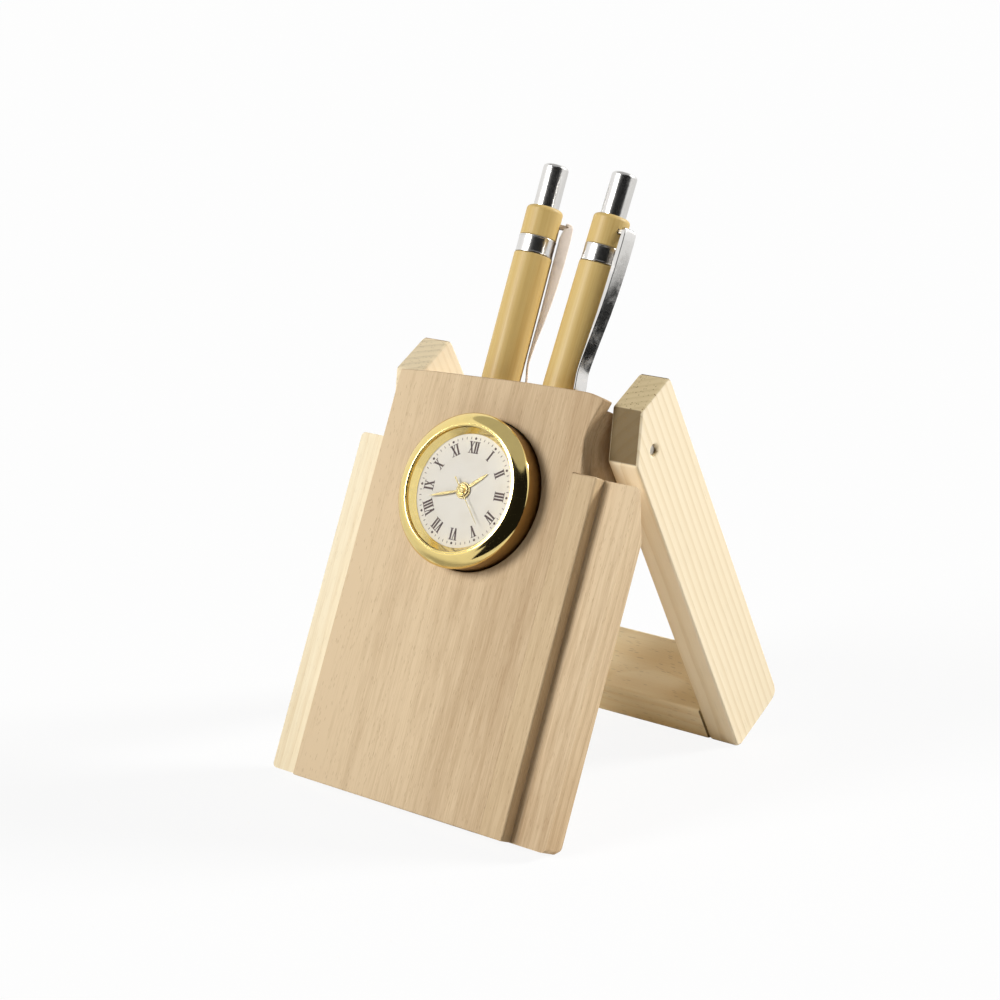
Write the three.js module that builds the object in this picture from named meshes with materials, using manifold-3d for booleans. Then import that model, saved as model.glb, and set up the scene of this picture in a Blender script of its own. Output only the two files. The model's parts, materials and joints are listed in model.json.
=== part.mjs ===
// A pen holder clock: a small wooden desk stand that leans on a hinged frame, with a quartz clock
// in its face and two pens standing in bores behind it.
// Millimetres. +X is to the viewer's right, +Y to the back and +Z up, and the stand rests on z = 0
// with the origin under the middle of its outline.
import * as THREE from 'three';
import { mergeVertices } from 'three/addons/utils/BufferGeometryUtils.js';
import Module from 'manifold-3d';

const wasm = await Module();
wasm.setup();

// Stance
const bodyLean = THREE.MathUtils.degToRad(24.2);
const frameLean = THREE.MathUtils.degToRad(29.1);
const floorFlat = 1.6;

// Fits
const glueLine = 0.1;
const seatGap = 0.3;
const stopGap = 0.3;
const runningGap = 0.1;
const drillOverrun = 1;

// Counts of sides on turned pieces
const bezelSides = 48;
const penSides = 24;
const arborSides = 12;
const curveSteps = 3;

// Front panel, with a stave glued along its right edge
const panelHalfWidth = 30.7;
const panelDepth = 3.4;
const earHeight = 15.9;
const crownRise = 2.1;
const staveWidth = 6.4;
const earRootX = 26.6;
const earWaistX = 25;
const earTipX = 27.4;
const earWaistHeightShare = 0.55;
const earTipRiseShare = 0.6;
const crownShares = [[0.76, 1], [0.57, 1], [0.15, 0.9], [-0.37, 0.57], [-0.72, 0.33]];

// Wings
const wingHalfWidth = 40;
const wingHeight = 81.2;
const wingDepth = 6.4;
const wingTopDepth = 0.45;
const wingBevelLength = 11.2;

// Block between the frame's arms, with the pens' bores
const blockHalfWidth = 26.9;
const blockDepth = 13.5;
const blockDrop = 0.7;
const boreRadius = 5;
const boreFloor = 11.2;
const boreFromFront = 10;
const pilotDepth = 5.4;

// Frame
const armInnerX = 27.4;
const armThickness = 8;
const armDepth = 19.6;
const armAbovePin = 11;
const armBevelHeight = 10;
const armBevelDepth = 7.4;
const armHeelRadius = 3;
const armTopRadius = 1.5;
const crossbarHeight = 10.9;
const dowelRadius = 2.5;
const dowelInArm = 5;
const dowelInBar = 10;

// Pivot pins
const pinFromTop = 6.3;
const pinInArm = 7;
const pinRadius = 0.8;
const pinHeadRadius = 1.2;
const pinHeadLength = 1;
const pinSink = 0.8;
const pinInBlock = 10;

// Clock insert, heights measured outwards from the panel's face
const clockFromTop = 25.2;
const caseRadius = 17.3;
const caseWall = 0.8;
const caseFront = 4.6;
const bezelOverhang = 0.5;
const bezelHeight = 2.5;
const bezelEdge = 0.5;
const bezelWidth = 3.55;
const crystalThickness = 0.9;
const crystalLedge = 0.5;
const crystalSink = 0.3;
const dialThickness = 0.4;
const dialFace = 4.4;
const dialRingSlope = 1.25;
const dialHoleRadius = 1.75;
const gripRingWidth = 1.1;
const gripRingDepth = 0.45;
const gripRingFromBack = 0.9;

// Hands
const handThickness = 0.15;
const handStep = 0.4;
const dialTurn = THREE.MathUtils.degToRad(1.8);
const hourHandLength = 7.2;
const minuteHandLength = 9;
const secondHandLength = 9.4;
const secondHandTail = 3.6;
const hourHandWidth = 0.75;
const minuteHandWidth = 0.6;
const secondHandWidth = 0.22;
const handTipShare = 0.3;
const handHubWall = 0.45;
const shownHours = 1;
const shownMinutes = 42;
const shownSeconds = 23;

// Movement
const plateThickness = 0.7;
const motionSpace = 1.5;
const spacerWidth = 1;
const wheelThickness = 0.4;
const pinionLength = 0.7;
const secondsArborRadius = 0.3;
const centreTubeWall = 0.25;
const cannonWall = 0.25;
const hourTubeWall = 0.35;
const arborRadius = 0.3;
const motionModule = 0.3;
const trainModule = 0.21;
const stepModule = 0.26;
const cannonTeeth = 10;
const minuteTeeth = 30;
const minutePinionTeeth = 8;
const hourTeeth = 32;
const secondsTeeth = 36;
const secondsPinionTeeth = 6;
const thirdTeeth = 45;
const thirdPinionTeeth = 6;
const centreTeeth = 48;
const intermediateTeeth = 30;
const intermediatePinionTeeth = 6;
const rotorPinionTeeth = 6;
const toothTipShare = 0.1;
const toothRootShare = 0.22;
const toothHeightShare = 0.9;
const toothDepthShare = 1.25;
const thirdBearing = THREE.MathUtils.degToRad(60);
const intermediateBearing = THREE.MathUtils.degToRad(235);
const rotorBearing = THREE.MathUtils.degToRad(235);
const minuteBearing = THREE.MathUtils.degToRad(-60);
const magnetRadius = 1.3;
const magnetLength = 0.9;
const statorGap = 0.4;
const statorThickness = 0.5;
const statorWidth = 2.2;
const coilLength = 10;
const coilRadius = 1.15;
const batteryRadius = 3.4;
const batteryThickness = 2.6;
const batteryBearing = THREE.MathUtils.degToRad(12);
const batteryCoverRadius = 4;
const coinSlotWidth = 1;
const coinSlotDepth = 0.35;
const circuitLength = 9;
const circuitWidth = 4.4;
const circuitThickness = 0.5;
const knobRadius = 2;

// Pens, heights measured from the tip
const penShown = 54.8;
const barrelRadius = 4.5;
const barrelBore = 3.4;
const noseLength = 14;
const noseTipRadius = 1.5;
const noseHoleRadius = 1.25;
const noseCheekRadiusShare = 0.8;
const noseCheekHeightShare = 0.72;
const noseSpigot = 6;
const ringHeight = 4.1;
const ringRadius = 4.4;
const upperLength = 7.2;
const upperRadius = 4.3;
const upperShoulder = 1;
const buttonRadius = 3;
const buttonShown = 10.3;
const buttonRound = 0.8;
const buttonFlange = 1.2;
const roundedCornerShare = 0.3;
const sleeveRadius = 2.5;
const sleeveLength = 20;
const refillRadius = 1.5;
const refillTipRadius = 0.6;
const refillTipLength = 12;
const refillTipFoot = 1.2;
const refillCollarRadius = 2.1;
const refillCollarHeight = 1;
const springRadius = 2.3;
const springWall = 0.5;
const springFoot = 8;
const springLength = 17;
const clipWidth = 3.7;
const clipTabWidth = 2.2;
const clipTabHeight = 1;
const clipTabInside = 0.8;
const clipDrop = 2.4;
const clipAboveBlock = 3.7;
const clipStand = 2.95;
const clipGap = 0.35;
const clipTipStand = 1.6;
const clipThickness = 0.6;
// Each clip point: share of the stand-off from the barrel, share of the length down from the top.
const clipOuterShares = [
  [0.45, 0], [0.85, 0.04], [1, 0.16], [0.97, 0.35], [0.8, 0.5], [0.48, 0.68], [0.24, 0.86],
];
const clipBendShare = 0.9;
const leftPen = {
  name: 'left',
  mouthX: -9.2,
  lean: THREE.MathUtils.degToRad(-0.2),
  clipTurn: THREE.MathUtils.degToRad(129),
};
const rightPen = {
  name: 'right',
  mouthX: 8.2,
  lean: THREE.MathUtils.degToRad(2.1),
  clipTurn: THREE.MathUtils.degToRad(79),
};

// Places that follow from the sizes above
const panelHeight = wingHeight + earHeight;
const clockHeight = panelHeight - clockFromTop;
const pinHeight = panelHeight - pinFromTop;
const boardFront = panelDepth + glueLine;
const wingBack = boardFront + wingDepth;
const blockBack = boardFront + blockDepth;
const blockTop = panelHeight - blockDrop;
const openAngle = bodyLean + frameLean;
const pinFromFront = panelDepth + stopGap + armAbovePin * Math.sin(openAngle)
  - (armBevelDepth - pinInArm) * Math.cos(openAngle);
const flatFront = wingBack - floorFlat;
const staveX = panelHalfWidth - staveWidth;
const bezelRadius = caseRadius + bezelOverhang;
const openingRadius = bezelRadius - bezelWidth;
const dialShownRadius = openingRadius - dialRingSlope;
const armOuterX = armInnerX + armThickness;

const finishes = {
  panelWood: { color: 0xcdb48f, roughness: 0.62, metalness: 0 },
  staveWood: { color: 0xd6be99, roughness: 0.62, metalness: 0 },
  wingWood: { color: 0xe3cfa6, roughness: 0.6, metalness: 0 },
  frameWood: { color: 0xf0e0bb, roughness: 0.6, metalness: 0 },
  bamboo: { color: 0xd9bd73, roughness: 0.35, metalness: 0 },
  gold: { color: 0xd9b24f, roughness: 0.15, metalness: 1 },
  chrome: { color: 0xd8d8d6, roughness: 0.1, metalness: 1 },
  steel: { color: 0x8f8c86, roughness: 0.35, metalness: 1 },
  brass: { color: 0xc9a24a, roughness: 0.3, metalness: 1 },
  glass: { color: 0xf4f6f6, roughness: 0.05, metalness: 0 },
  dialSilver: { color: 0xe4e2da, roughness: 0.4, metalness: 0.3 },
  blackPlastic: { color: 0x202020, roughness: 0.5, metalness: 0 },
  whitePlastic: { color: 0xe8e6e0, roughness: 0.5, metalness: 0 },
  rubber: { color: 0x2b2b2b, roughness: 0.8, metalness: 0 },
  copper: { color: 0xb8693a, roughness: 0.35, metalness: 1 },
  circuitGreen: { color: 0x2e6b3f, roughness: 0.5, metalness: 0 },
};

// A closed mesh with shared vertices becomes a solid that can be cut and joined.
function solid(geometry) {
  const bare = geometry.index ? geometry.toNonIndexed() : geometry.clone();
  bare.deleteAttribute('normal');
  bare.deleteAttribute('uv');
  const merged = mergeVertices(bare);
  const corners = merged.index.array;
  const kept = [];
  for (let i = 0; i < corners.length; i += 3) {
    const [a, b, c] = [corners[i], corners[i + 1], corners[i + 2]];
    if (a !== b && b !== c && c !== a) kept.push(a, b, c);
  }
  const vertProperties = Float32Array.from(merged.attributes.position.array);
  return new wasm.Manifold(new wasm.Mesh({ numProp: 3, vertProperties, triVerts: Uint32Array.from(kept) }));
}

function shell(body) {
  const mesh = body.getMesh();
  const geometry = new THREE.BufferGeometry();
  geometry.setAttribute('position', new THREE.BufferAttribute(Float32Array.from(mesh.vertProperties), 3));
  geometry.setIndex(new THREE.BufferAttribute(Uint32Array.from(mesh.triVerts), 1));
  geometry.computeVertexNormals();
  return geometry;
}

function cut(geometry, ...tools) {
  return shell(tools.reduce((body, tool) => body.subtract(solid(tool)), solid(geometry)));
}

function join(geometry, ...others) {
  return shell(others.reduce((body, other) => body.add(solid(other)), solid(geometry)));
}

function piece(name, geometry, finish) {
  const mesh = new THREE.Mesh(geometry, new THREE.MeshStandardMaterial(finishes[finish]));
  mesh.name = name;
  return mesh;
}

function outline(points) {
  return new THREE.Shape(points.map(([x, y]) => new THREE.Vector2(x, y)));
}

// A flat outline in x and y, extruded upwards.
function slab(shape, foot, top) {
  const options = { depth: top - foot, bevelEnabled: false, curveSegments: curveSteps };
  return new THREE.ExtrudeGeometry(shape, options).translate(0, 0, foot);
}

// A flat outline in x and z, extruded in depth from front to back.
function plate(shape, front, back) {
  return slab(shape, -back, -front).rotateX(Math.PI / 2);
}

// A side outline in y and z, extruded across from left to right.
function crosswise(shape, left, right) {
  const turn = new THREE.Matrix4().makeBasis(
    new THREE.Vector3(0, 1, 0), new THREE.Vector3(0, 0, 1), new THREE.Vector3(1, 0, 0));
  return slab(shape, left, right).applyMatrix4(turn);
}

// A profile of radius and height turned about the z axis, closed on itself or on the axis.
function turned(profile, sides) {
  const points = profile.map(([radius, height]) => new THREE.Vector2(radius, height));
  if (THREE.ShapeUtils.area(points) < 0) points.reverse();
  if (!(points[0].x === 0 && points.at(-1).x === 0)) {
    const start = points.findIndex((point, i) => point.x === 0 && points.at(i - 1).x === 0);
    if (start > 0) points.push(...points.splice(0, start));
    else points.push(points[0].clone());
  }
  return new THREE.LatheGeometry(points, sides).rotateX(Math.PI / 2);
}

function rod(radius, foot, top, sides = arborSides) {
  return turned([[0, foot], [radius, foot], [radius, top], [0, top]], sides);
}

function tube(inner, outer, foot, top, sides = arborSides) {
  return turned([[inner, foot], [outer, foot], [outer, top], [inner, top]], sides);
}

function box(left, right, front, back, foot, top) {
  const geometry = new THREE.BoxGeometry(right - left, back - front, top - foot);
  return geometry.translate((left + right) / 2, (front + back) / 2, (foot + top) / 2);
}

// A rod along x, such as a dowel or a pin.
function crossRod(radius, left, right, depth, height, sides = arborSides) {
  return rod(radius, left, right, sides).rotateY(Math.PI / 2).translate(0, depth, height);
}

function mirrored(geometry) {
  return shell(solid(geometry).mirror([1, 0, 0]));
}

// The wooden body, in its own frame: y from the front face to the back, z up along the lean.
// The right ear's side is hollowed: the curve runs through its waist to its tip.
function earCurve() {
  const waistHeight = wingHeight + (panelHeight - wingHeight) * earWaistHeightShare;
  const tipHeight = panelHeight + crownRise * earTipRiseShare;
  return [new THREE.Vector2(earWaistX, waistHeight), new THREE.Vector2(earTipX, tipHeight)];
}

function panelOutline() {
  const crown = crownShares.map(([side, rise]) =>
    new THREE.Vector2(panelHalfWidth * side, panelHeight + crownRise * rise));
  const shape = new THREE.Shape();
  shape.moveTo(-panelHalfWidth, 0);
  shape.lineTo(staveX, 0);
  shape.lineTo(staveX, wingHeight + glueLine);
  shape.lineTo(earRootX, wingHeight + glueLine);
  shape.splineThru(earCurve());
  shape.splineThru([...crown, new THREE.Vector2(-panelHalfWidth, panelHeight)]);
  return shape;
}

function frontPanel() {
  const hole = rod(caseRadius + seatGap, -panelDepth - drillOverrun, drillOverrun, bezelSides)
    .rotateX(Math.PI / 2).translate(0, 0, clockHeight);
  return cut(plate(panelOutline(), 0, panelDepth), hole);
}

// Height along the lean at which the floor's plane crosses a given depth behind the flat's start.
function floorLine(depth) {
  return (depth - flatFront) * Math.tan(bodyLean);
}

function wing() {
  const bevelFoot = wingHeight - wingBevelLength;
  const side = outline([
    [boardFront, 0], [flatFront, 0], [wingBack, floorLine(wingBack)], [wingBack, bevelFoot],
    [boardFront + wingTopDepth, wingHeight], [boardFront, wingHeight],
  ]);
  return crosswise(side, blockHalfWidth + glueLine, wingHalfWidth);
}

function penBore(pen) {
  const bore = rod(boreRadius, 0, penLength, penSides);
  const pilot = rod(noseHoleRadius, -pilotDepth, drillOverrun, arborSides);
  return join(bore, pilot).translate(0, 0, -seatGap).applyMatrix4(penPlace(pen));
}

// Where a pen's tip stands and how the pen leans, in the body's frame.
function penPlace(pen) {
  const tipHeight = boreFloor + seatGap;
  const tipX = pen.mouthX - (blockTop - tipHeight) * Math.tan(pen.lean);
  return new THREE.Matrix4().makeRotationY(pen.lean).setPosition(tipX, boreFromFront, tipHeight);
}

// What is sawn from the block to carry on the ear's hollow.
function earHollow() {
  const shape = new THREE.Shape();
  shape.moveTo(earRootX, wingHeight + glueLine);
  shape.splineThru(earCurve());
  shape.lineTo(blockHalfWidth + drillOverrun, panelHeight + crownRise);
  shape.lineTo(blockHalfWidth + drillOverrun, wingHeight + glueLine);
  return plate(shape, boardFront - drillOverrun, blockBack + drillOverrun);
}

function penBlock() {
  const side = outline([
    [boardFront, 0], [flatFront, 0], [blockBack, floorLine(blockBack)],
    [blockBack, blockTop], [boardFront, blockTop],
  ]);
  const pinHole = (left, right) => crossRod(pinRadius + runningGap, left, right, pinFromFront, pinHeight);
  return cut(
    crosswise(side, -blockHalfWidth, blockHalfWidth),
    earHollow(), penBore(leftPen), penBore(rightPen),
    pinHole(blockHalfWidth - pinInBlock, blockHalfWidth + drillOverrun),
    pinHole(-blockHalfWidth - drillOverrun, pinInBlock - blockHalfWidth));
}

// A pivot pin: its head sits just below the arm's outer face and its shank ends in the block.
function pivotPin() {
  const headTop = armOuterX - pinSink;
  const shankEnd = blockHalfWidth - pinInBlock + runningGap;
  const shank = crossRod(pinRadius, shankEnd, headTop, pinFromFront, pinHeight);
  return join(shank, crossRod(pinHeadRadius, headTop - pinHeadLength, headTop, pinFromFront, pinHeight));
}

// The frame, in its own frame: y from the arms' front face to their back, z up along the arms.
const pinFloorHeight = pinHeight * Math.cos(bodyLean) - (pinFromFront - flatFront) * Math.sin(bodyLean);
const flatRise = floorFlat * Math.sin(frameLean);
const pinUpArm = (pinFloorHeight - pinInArm * Math.sin(frameLean) + flatRise) / Math.cos(frameLean);
const armLength = pinUpArm + armAbovePin;
const flatUpArm = floorFlat * Math.tan(frameLean);

// The foot of the frame's section: a flat on the floor in front and a rounded heel behind.
function footOutline() {
  const shape = new THREE.Shape();
  shape.moveTo(floorFlat, 0);
  shape.lineTo(armDepth - armHeelRadius, 0);
  shape.quadraticCurveTo(armDepth, 0, armDepth, armHeelRadius);
  return shape;
}

function armOutline() {
  const shape = footOutline();
  shape.lineTo(armDepth, armLength - armTopRadius);
  shape.quadraticCurveTo(armDepth, armLength, armDepth - armTopRadius, armLength);
  shape.lineTo(armBevelDepth, armLength);
  shape.lineTo(0, armLength - armBevelHeight);
  shape.lineTo(0, flatUpArm);
  return shape;
}

function dowelPlace(left, right, radius) {
  return crossRod(radius, left, right, armDepth / 2, crossbarHeight / 2);
}

function arm() {
  const headSeat = armOuterX - pinSink - pinHeadLength - runningGap;
  return cut(
    crosswise(armOutline(), armInnerX, armOuterX),
    crossRod(pinRadius + runningGap, armInnerX - drillOverrun, armOuterX + drillOverrun, pinInArm, pinUpArm),
    crossRod(pinHeadRadius + runningGap, headSeat, armOuterX + drillOverrun, pinInArm, pinUpArm),
    dowelPlace(armInnerX - drillOverrun, armInnerX + dowelInArm, dowelRadius + glueLine));
}

function crossbar() {
  const end = armInnerX - glueLine;
  const section = footOutline();
  section.lineTo(armDepth, crossbarHeight);
  section.lineTo(0, crossbarHeight);
  section.lineTo(0, flatUpArm);
  return cut(
    crosswise(section, -end, end),
    dowelPlace(armInnerX - dowelInBar, armInnerX + drillOverrun, dowelRadius + glueLine),
    dowelPlace(-armInnerX - drillOverrun, dowelInBar - armInnerX, dowelRadius + glueLine));
}

function dowel() {
  return dowelPlace(armInnerX - dowelInBar + glueLine, armInnerX + dowelInArm - glueLine, dowelRadius);
}

// The clock insert, in its own frame: x across, y up the dial, z outwards from the panel's face.
const caseBack = seatGap - panelDepth;
const caseInside = caseRadius - caseWall;
const bezelFoot = caseFront + glueLine;
const bezelTop = bezelFoot + bezelHeight;
const crystalTop = bezelTop - crystalSink;
const crystalFoot = crystalTop - crystalThickness;
const dialFoot = dialFace - dialThickness;
const dialRadius = caseInside - seatGap;
const plateTop = dialFoot - motionSpace - glueLine;
const plateFoot = plateTop - plateThickness;
const housingFoot = caseBack + caseWall + glueLine;
const housingInside = housingFoot + plateThickness;
const housingTop = plateFoot - glueLine;
const movementRadius = dialRadius - spacerWidth - runningGap;
const batteryFromCentre = movementRadius - batteryRadius - seatGap;
const thirdPinionModule = trainModule * (secondsPinionTeeth + thirdTeeth) / (thirdPinionTeeth + centreTeeth);

const polar = (radius, bearing) => [radius * Math.cos(bearing), radius * Math.sin(bearing)];
const centreDistance = (first, second, module) => (first + second) * module / 2;
const minuteAxis = polar(centreDistance(cannonTeeth, minuteTeeth, motionModule), minuteBearing);
const thirdAxis = polar(centreDistance(secondsPinionTeeth, thirdTeeth, trainModule), thirdBearing);
const intermediateReach = centreDistance(secondsTeeth, intermediatePinionTeeth, stepModule);
const intermediateAxis = polar(intermediateReach, intermediateBearing);
const rotorReach = polar(centreDistance(intermediateTeeth, rotorPinionTeeth, trainModule), rotorBearing);
const rotorAxis = [intermediateAxis[0] + rotorReach[0], intermediateAxis[1] + rotorReach[1]];
const batteryAxis = polar(batteryFromCentre, batteryBearing);

// Heights of the train's three levels between the housing's floor and the main plate
const lowLevel = housingInside + runningGap;
const midLevel = lowLevel + pinionLength + runningGap;
const highLevel = midLevel + pinionLength + runningGap;
const minuteLevel = plateTop + runningGap;
const hourLevel = minuteLevel + wheelThickness + runningGap;

const centreTubeInner = secondsArborRadius + runningGap;
const centreTubeOuter = centreTubeInner + centreTubeWall;
const cannonInner = centreTubeOuter + runningGap;
const cannonOuter = cannonInner + cannonWall;
const hourTubeInner = cannonOuter + runningGap;
const hourTubeOuter = hourTubeInner + hourTubeWall;
const hourHandFoot = dialFace + handStep - handThickness;
const minuteHandFoot = hourHandFoot + handStep;
const secondHandFoot = minuteHandFoot + handStep;

// A toothed wheel or pinion with a bore, its first tooth turned to the given bearing.
function gear(teeth, module, bore, foot, thickness, turn) {
  const pitchRadius = teeth * module / 2;
  const tip = pitchRadius + module * toothHeightShare;
  const root = pitchRadius - module * toothDepthShare;
  const step = 2 * Math.PI / teeth;
  const flanks = [
    [root, -toothRootShare], [tip, -toothTipShare], [tip, toothTipShare], [root, toothRootShare],
  ];
  const points = [];
  for (let i = 0; i < teeth; i += 1) {
    const middle = turn + i * step;
    points.push(...flanks.map(([radius, share]) => polar(radius, middle + share * step)));
  }
  const shape = outline(points);
  if (bore > 0) {
    const rim = Array.from({ length: arborSides }, (_, i) => polar(bore, i * 2 * Math.PI / arborSides));
    shape.holes.push(new THREE.Path(rim.map(([x, y]) => new THREE.Vector2(x, y))));
  }
  return slab(shape, foot, foot + thickness);
}

// The turn that sets a second wheel's gap on the first wheel's tooth along the line of centres.
function meshTurn(bearing, firstTurn, firstTeeth, secondTeeth) {
  const firstShare = (bearing - firstTurn) * firstTeeth / (2 * Math.PI);
  return bearing + Math.PI - (0.5 - firstShare) * 2 * Math.PI / secondTeeth;
}

const minuteTurn = meshTurn(minuteBearing, 0, cannonTeeth, minuteTeeth);
const hourTurn = meshTurn(minuteBearing + Math.PI, minuteTurn, minutePinionTeeth, hourTeeth);
const thirdTurn = meshTurn(thirdBearing, 0, secondsPinionTeeth, thirdTeeth);
const centreTurn = meshTurn(thirdBearing + Math.PI, thirdTurn, thirdPinionTeeth, centreTeeth);
const intermediateTurn = meshTurn(intermediateBearing, 0, secondsTeeth, intermediatePinionTeeth);
const rotorTurn = meshTurn(rotorBearing, intermediateTurn, intermediateTeeth, rotorPinionTeeth);

function clockCase() {
  const cup = turned([
    [0, caseBack], [caseRadius, caseBack], [caseRadius, caseFront], [caseInside, caseFront],
    [caseInside, caseBack + caseWall], [0, caseBack + caseWall],
  ], bezelSides);
  const groove = tube(caseRadius - gripRingDepth, caseRadius + drillOverrun,
    caseBack + gripRingFromBack, caseBack + gripRingFromBack + gripRingWidth, bezelSides);
  const floorHole = (radius, [x, y]) =>
    rod(radius, caseBack - drillOverrun, caseBack + caseWall + drillOverrun, penSides).translate(x, y, 0);
  return cut(cup, groove,
    floorHole(batteryCoverRadius + runningGap, batteryAxis),
    floorHole(knobRadius + seatGap, minuteAxis));
}

function gripRing() {
  const foot = caseBack + gripRingFromBack + runningGap;
  const top = caseBack + gripRingFromBack + gripRingWidth - runningGap;
  const inner = caseRadius - gripRingDepth + runningGap;
  const outer = caseRadius + seatGap - runningGap;
  return turned([[inner, foot], [outer, (foot + top) / 2], [inner, top]], bezelSides);
}

function bezel() {
  const dome = new THREE.EllipseCurve(
    openingRadius + bezelEdge, bezelFoot + bezelEdge, bezelRadius - openingRadius - bezelEdge,
    bezelHeight - bezelEdge, 0, Math.PI / 2);
  const seat = openingRadius + crystalLedge + runningGap;
  return turned([
    [seat, bezelFoot], [bezelRadius - bezelEdge, bezelFoot],
    ...dome.getPoints(curveSteps * 2).map((point) => [point.x, point.y]),
    [openingRadius, crystalTop + runningGap], [seat, crystalTop + runningGap],
  ], bezelSides);
}

function crystal() {
  return rod(openingRadius + crystalLedge, crystalFoot, crystalTop, bezelSides);
}

// The sloping gilt wall between the dial and the crystal, with a foot that seats on the dial.
function dialRing() {
  const foot = dialFace + glueLine;
  const top = crystalFoot - glueLine;
  const outer = openingRadius + crystalLedge;
  return turned([[dialShownRadius, foot], [outer, foot], [outer, top], [openingRadius, top]], bezelSides);
}

function dial() {
  return tube(dialHoleRadius, dialRadius, dialFoot, dialFace, bezelSides);
}

// A hand in the plane of the dial, pointing up before it is turned, with a hub and a bore.
function hand(length, width, tail, hub, bore, foot, clockwise) {
  const tipWidth = width * handTipShare;
  const blade = slab(outline([
    [-width / 2, -tail], [width / 2, -tail], [width / 2, 0], [tipWidth / 2, length], [-tipWidth / 2, length],
    [-width / 2, 0],
  ]), foot, foot + handThickness);
  const boss = rod(hub, foot, foot + handThickness, penSides);
  const whole = join(blade, boss);
  const bored = bore > 0 ? cut(whole, rod(bore, foot - drillOverrun, foot + drillOverrun)) : whole;
  return bored.rotateZ(dialTurn - clockwise);
}

const fullTurn = 2 * Math.PI;
const secondAngle = fullTurn * shownSeconds / 60;
const minuteAngle = fullTurn * (shownMinutes + shownSeconds / 60) / 60;
const hourAngle = (fullTurn * shownHours + minuteAngle) / 12;

function hourHand() {
  return hand(hourHandLength, hourHandWidth, 0, hourTubeOuter + handHubWall, hourTubeOuter + runningGap,
    hourHandFoot, hourAngle);
}

function minuteHand() {
  return hand(minuteHandLength, minuteHandWidth, 0, cannonOuter + handHubWall, cannonOuter + runningGap,
    minuteHandFoot, minuteAngle);
}

function secondHand() {
  return hand(secondHandLength, secondHandWidth, secondHandTail, secondsArborRadius + handHubWall, 0,
    secondHandFoot, secondAngle);
}

// The movement's housing is a cup whose floor carries the wheels' back pivots.
function movementHousing() {
  const cup = turned([
    [0, housingFoot], [dialRadius, housingFoot], [dialRadius, housingTop],
    [dialRadius - spacerWidth, housingTop], [dialRadius - spacerWidth, housingInside], [0, housingInside],
  ], bezelSides);
  const floorHole = (radius, [x, y]) =>
    rod(radius, housingFoot - drillOverrun, housingInside + drillOverrun).translate(x, y, 0);
  return cut(cup,
    floorHole(secondsArborRadius + runningGap, [0, 0]),
    floorHole(arborRadius + runningGap, thirdAxis),
    floorHole(arborRadius + runningGap, intermediateAxis),
    floorHole(arborRadius + runningGap, rotorAxis),
    floorHole(arborRadius + runningGap, minuteAxis),
    floorHole(batteryRadius + seatGap, batteryAxis));
}

function mainPlate() {
  const hole = (radius, [x, y]) =>
    rod(radius, plateFoot - drillOverrun, plateTop + drillOverrun).translate(x, y, 0);
  return cut(rod(dialRadius, plateFoot, plateTop, bezelSides),
    hole(centreTubeOuter + runningGap, [0, 0]),
    hole(arborRadius + runningGap, thirdAxis),
    hole(arborRadius + runningGap, intermediateAxis),
    hole(arborRadius + runningGap, rotorAxis),
    hole(arborRadius + runningGap, minuteAxis));
}

function dialSpacer() {
  return tube(dialRadius - spacerWidth, dialRadius, plateTop + glueLine, dialFoot - glueLine, bezelSides);
}

function secondsWheel() {
  const arbor = rod(secondsArborRadius, housingFoot, secondHandFoot - glueLine);
  return join(arbor,
    gear(secondsTeeth, stepModule, 0, lowLevel, wheelThickness, 0),
    gear(secondsPinionTeeth, trainModule, 0, midLevel, pinionLength, 0));
}

function centreWheel() {
  const sleeve = tube(centreTubeInner, centreTubeOuter, highLevel, minuteHandFoot - glueLine);
  return join(sleeve,
    gear(centreTeeth, thirdPinionModule, centreTubeInner, highLevel, wheelThickness, centreTurn));
}

function cannonPinion() {
  const sleeve = tube(cannonInner, cannonOuter, minuteLevel, minuteHandFoot + handThickness);
  return join(sleeve, gear(cannonTeeth, motionModule, cannonInner, minuteLevel, wheelThickness, 0));
}

function hourWheel() {
  const sleeve = tube(hourTubeInner, hourTubeOuter, hourLevel, hourHandFoot + handThickness);
  return join(sleeve, gear(hourTeeth, motionModule, hourTubeInner, hourLevel, wheelThickness, hourTurn));
}

// The minute wheel's arbor runs to the back of the case, where the setting knob is fixed to it.
function minuteWheel() {
  const arbor = rod(arborRadius, caseBack + caseWall, hourLevel + pinionLength);
  const wheel = gear(minuteTeeth, motionModule, 0, minuteLevel, wheelThickness, minuteTurn);
  const pinion = gear(minutePinionTeeth, motionModule, 0, hourLevel, pinionLength, minuteTurn);
  return join(arbor, wheel, pinion).translate(...minuteAxis, 0);
}

function thirdWheel() {
  const arbor = rod(arborRadius, housingFoot, plateTop);
  const wheel = gear(thirdTeeth, trainModule, 0, midLevel, wheelThickness, thirdTurn);
  const pinion = gear(thirdPinionTeeth, thirdPinionModule, 0, highLevel, pinionLength, thirdTurn);
  return join(arbor, wheel, pinion).translate(...thirdAxis, 0);
}

function intermediateWheel() {
  const arbor = rod(arborRadius, housingFoot, plateTop);
  const pinion = gear(intermediatePinionTeeth, stepModule, 0, lowLevel, pinionLength, intermediateTurn);
  const wheel = gear(intermediateTeeth, trainModule, 0, midLevel, wheelThickness, intermediateTurn);
  return join(arbor, wheel, pinion).translate(...intermediateAxis, 0);
}

function rotor() {
  const arbor = rod(arborRadius, housingFoot, plateTop);
  const magnet = rod(magnetRadius, highLevel, highLevel + magnetLength, penSides);
  return join(arbor, magnet,
    gear(rotorPinionTeeth, trainModule, 0, midLevel, pinionLength, rotorTurn)).translate(...rotorAxis, 0);
}

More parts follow.
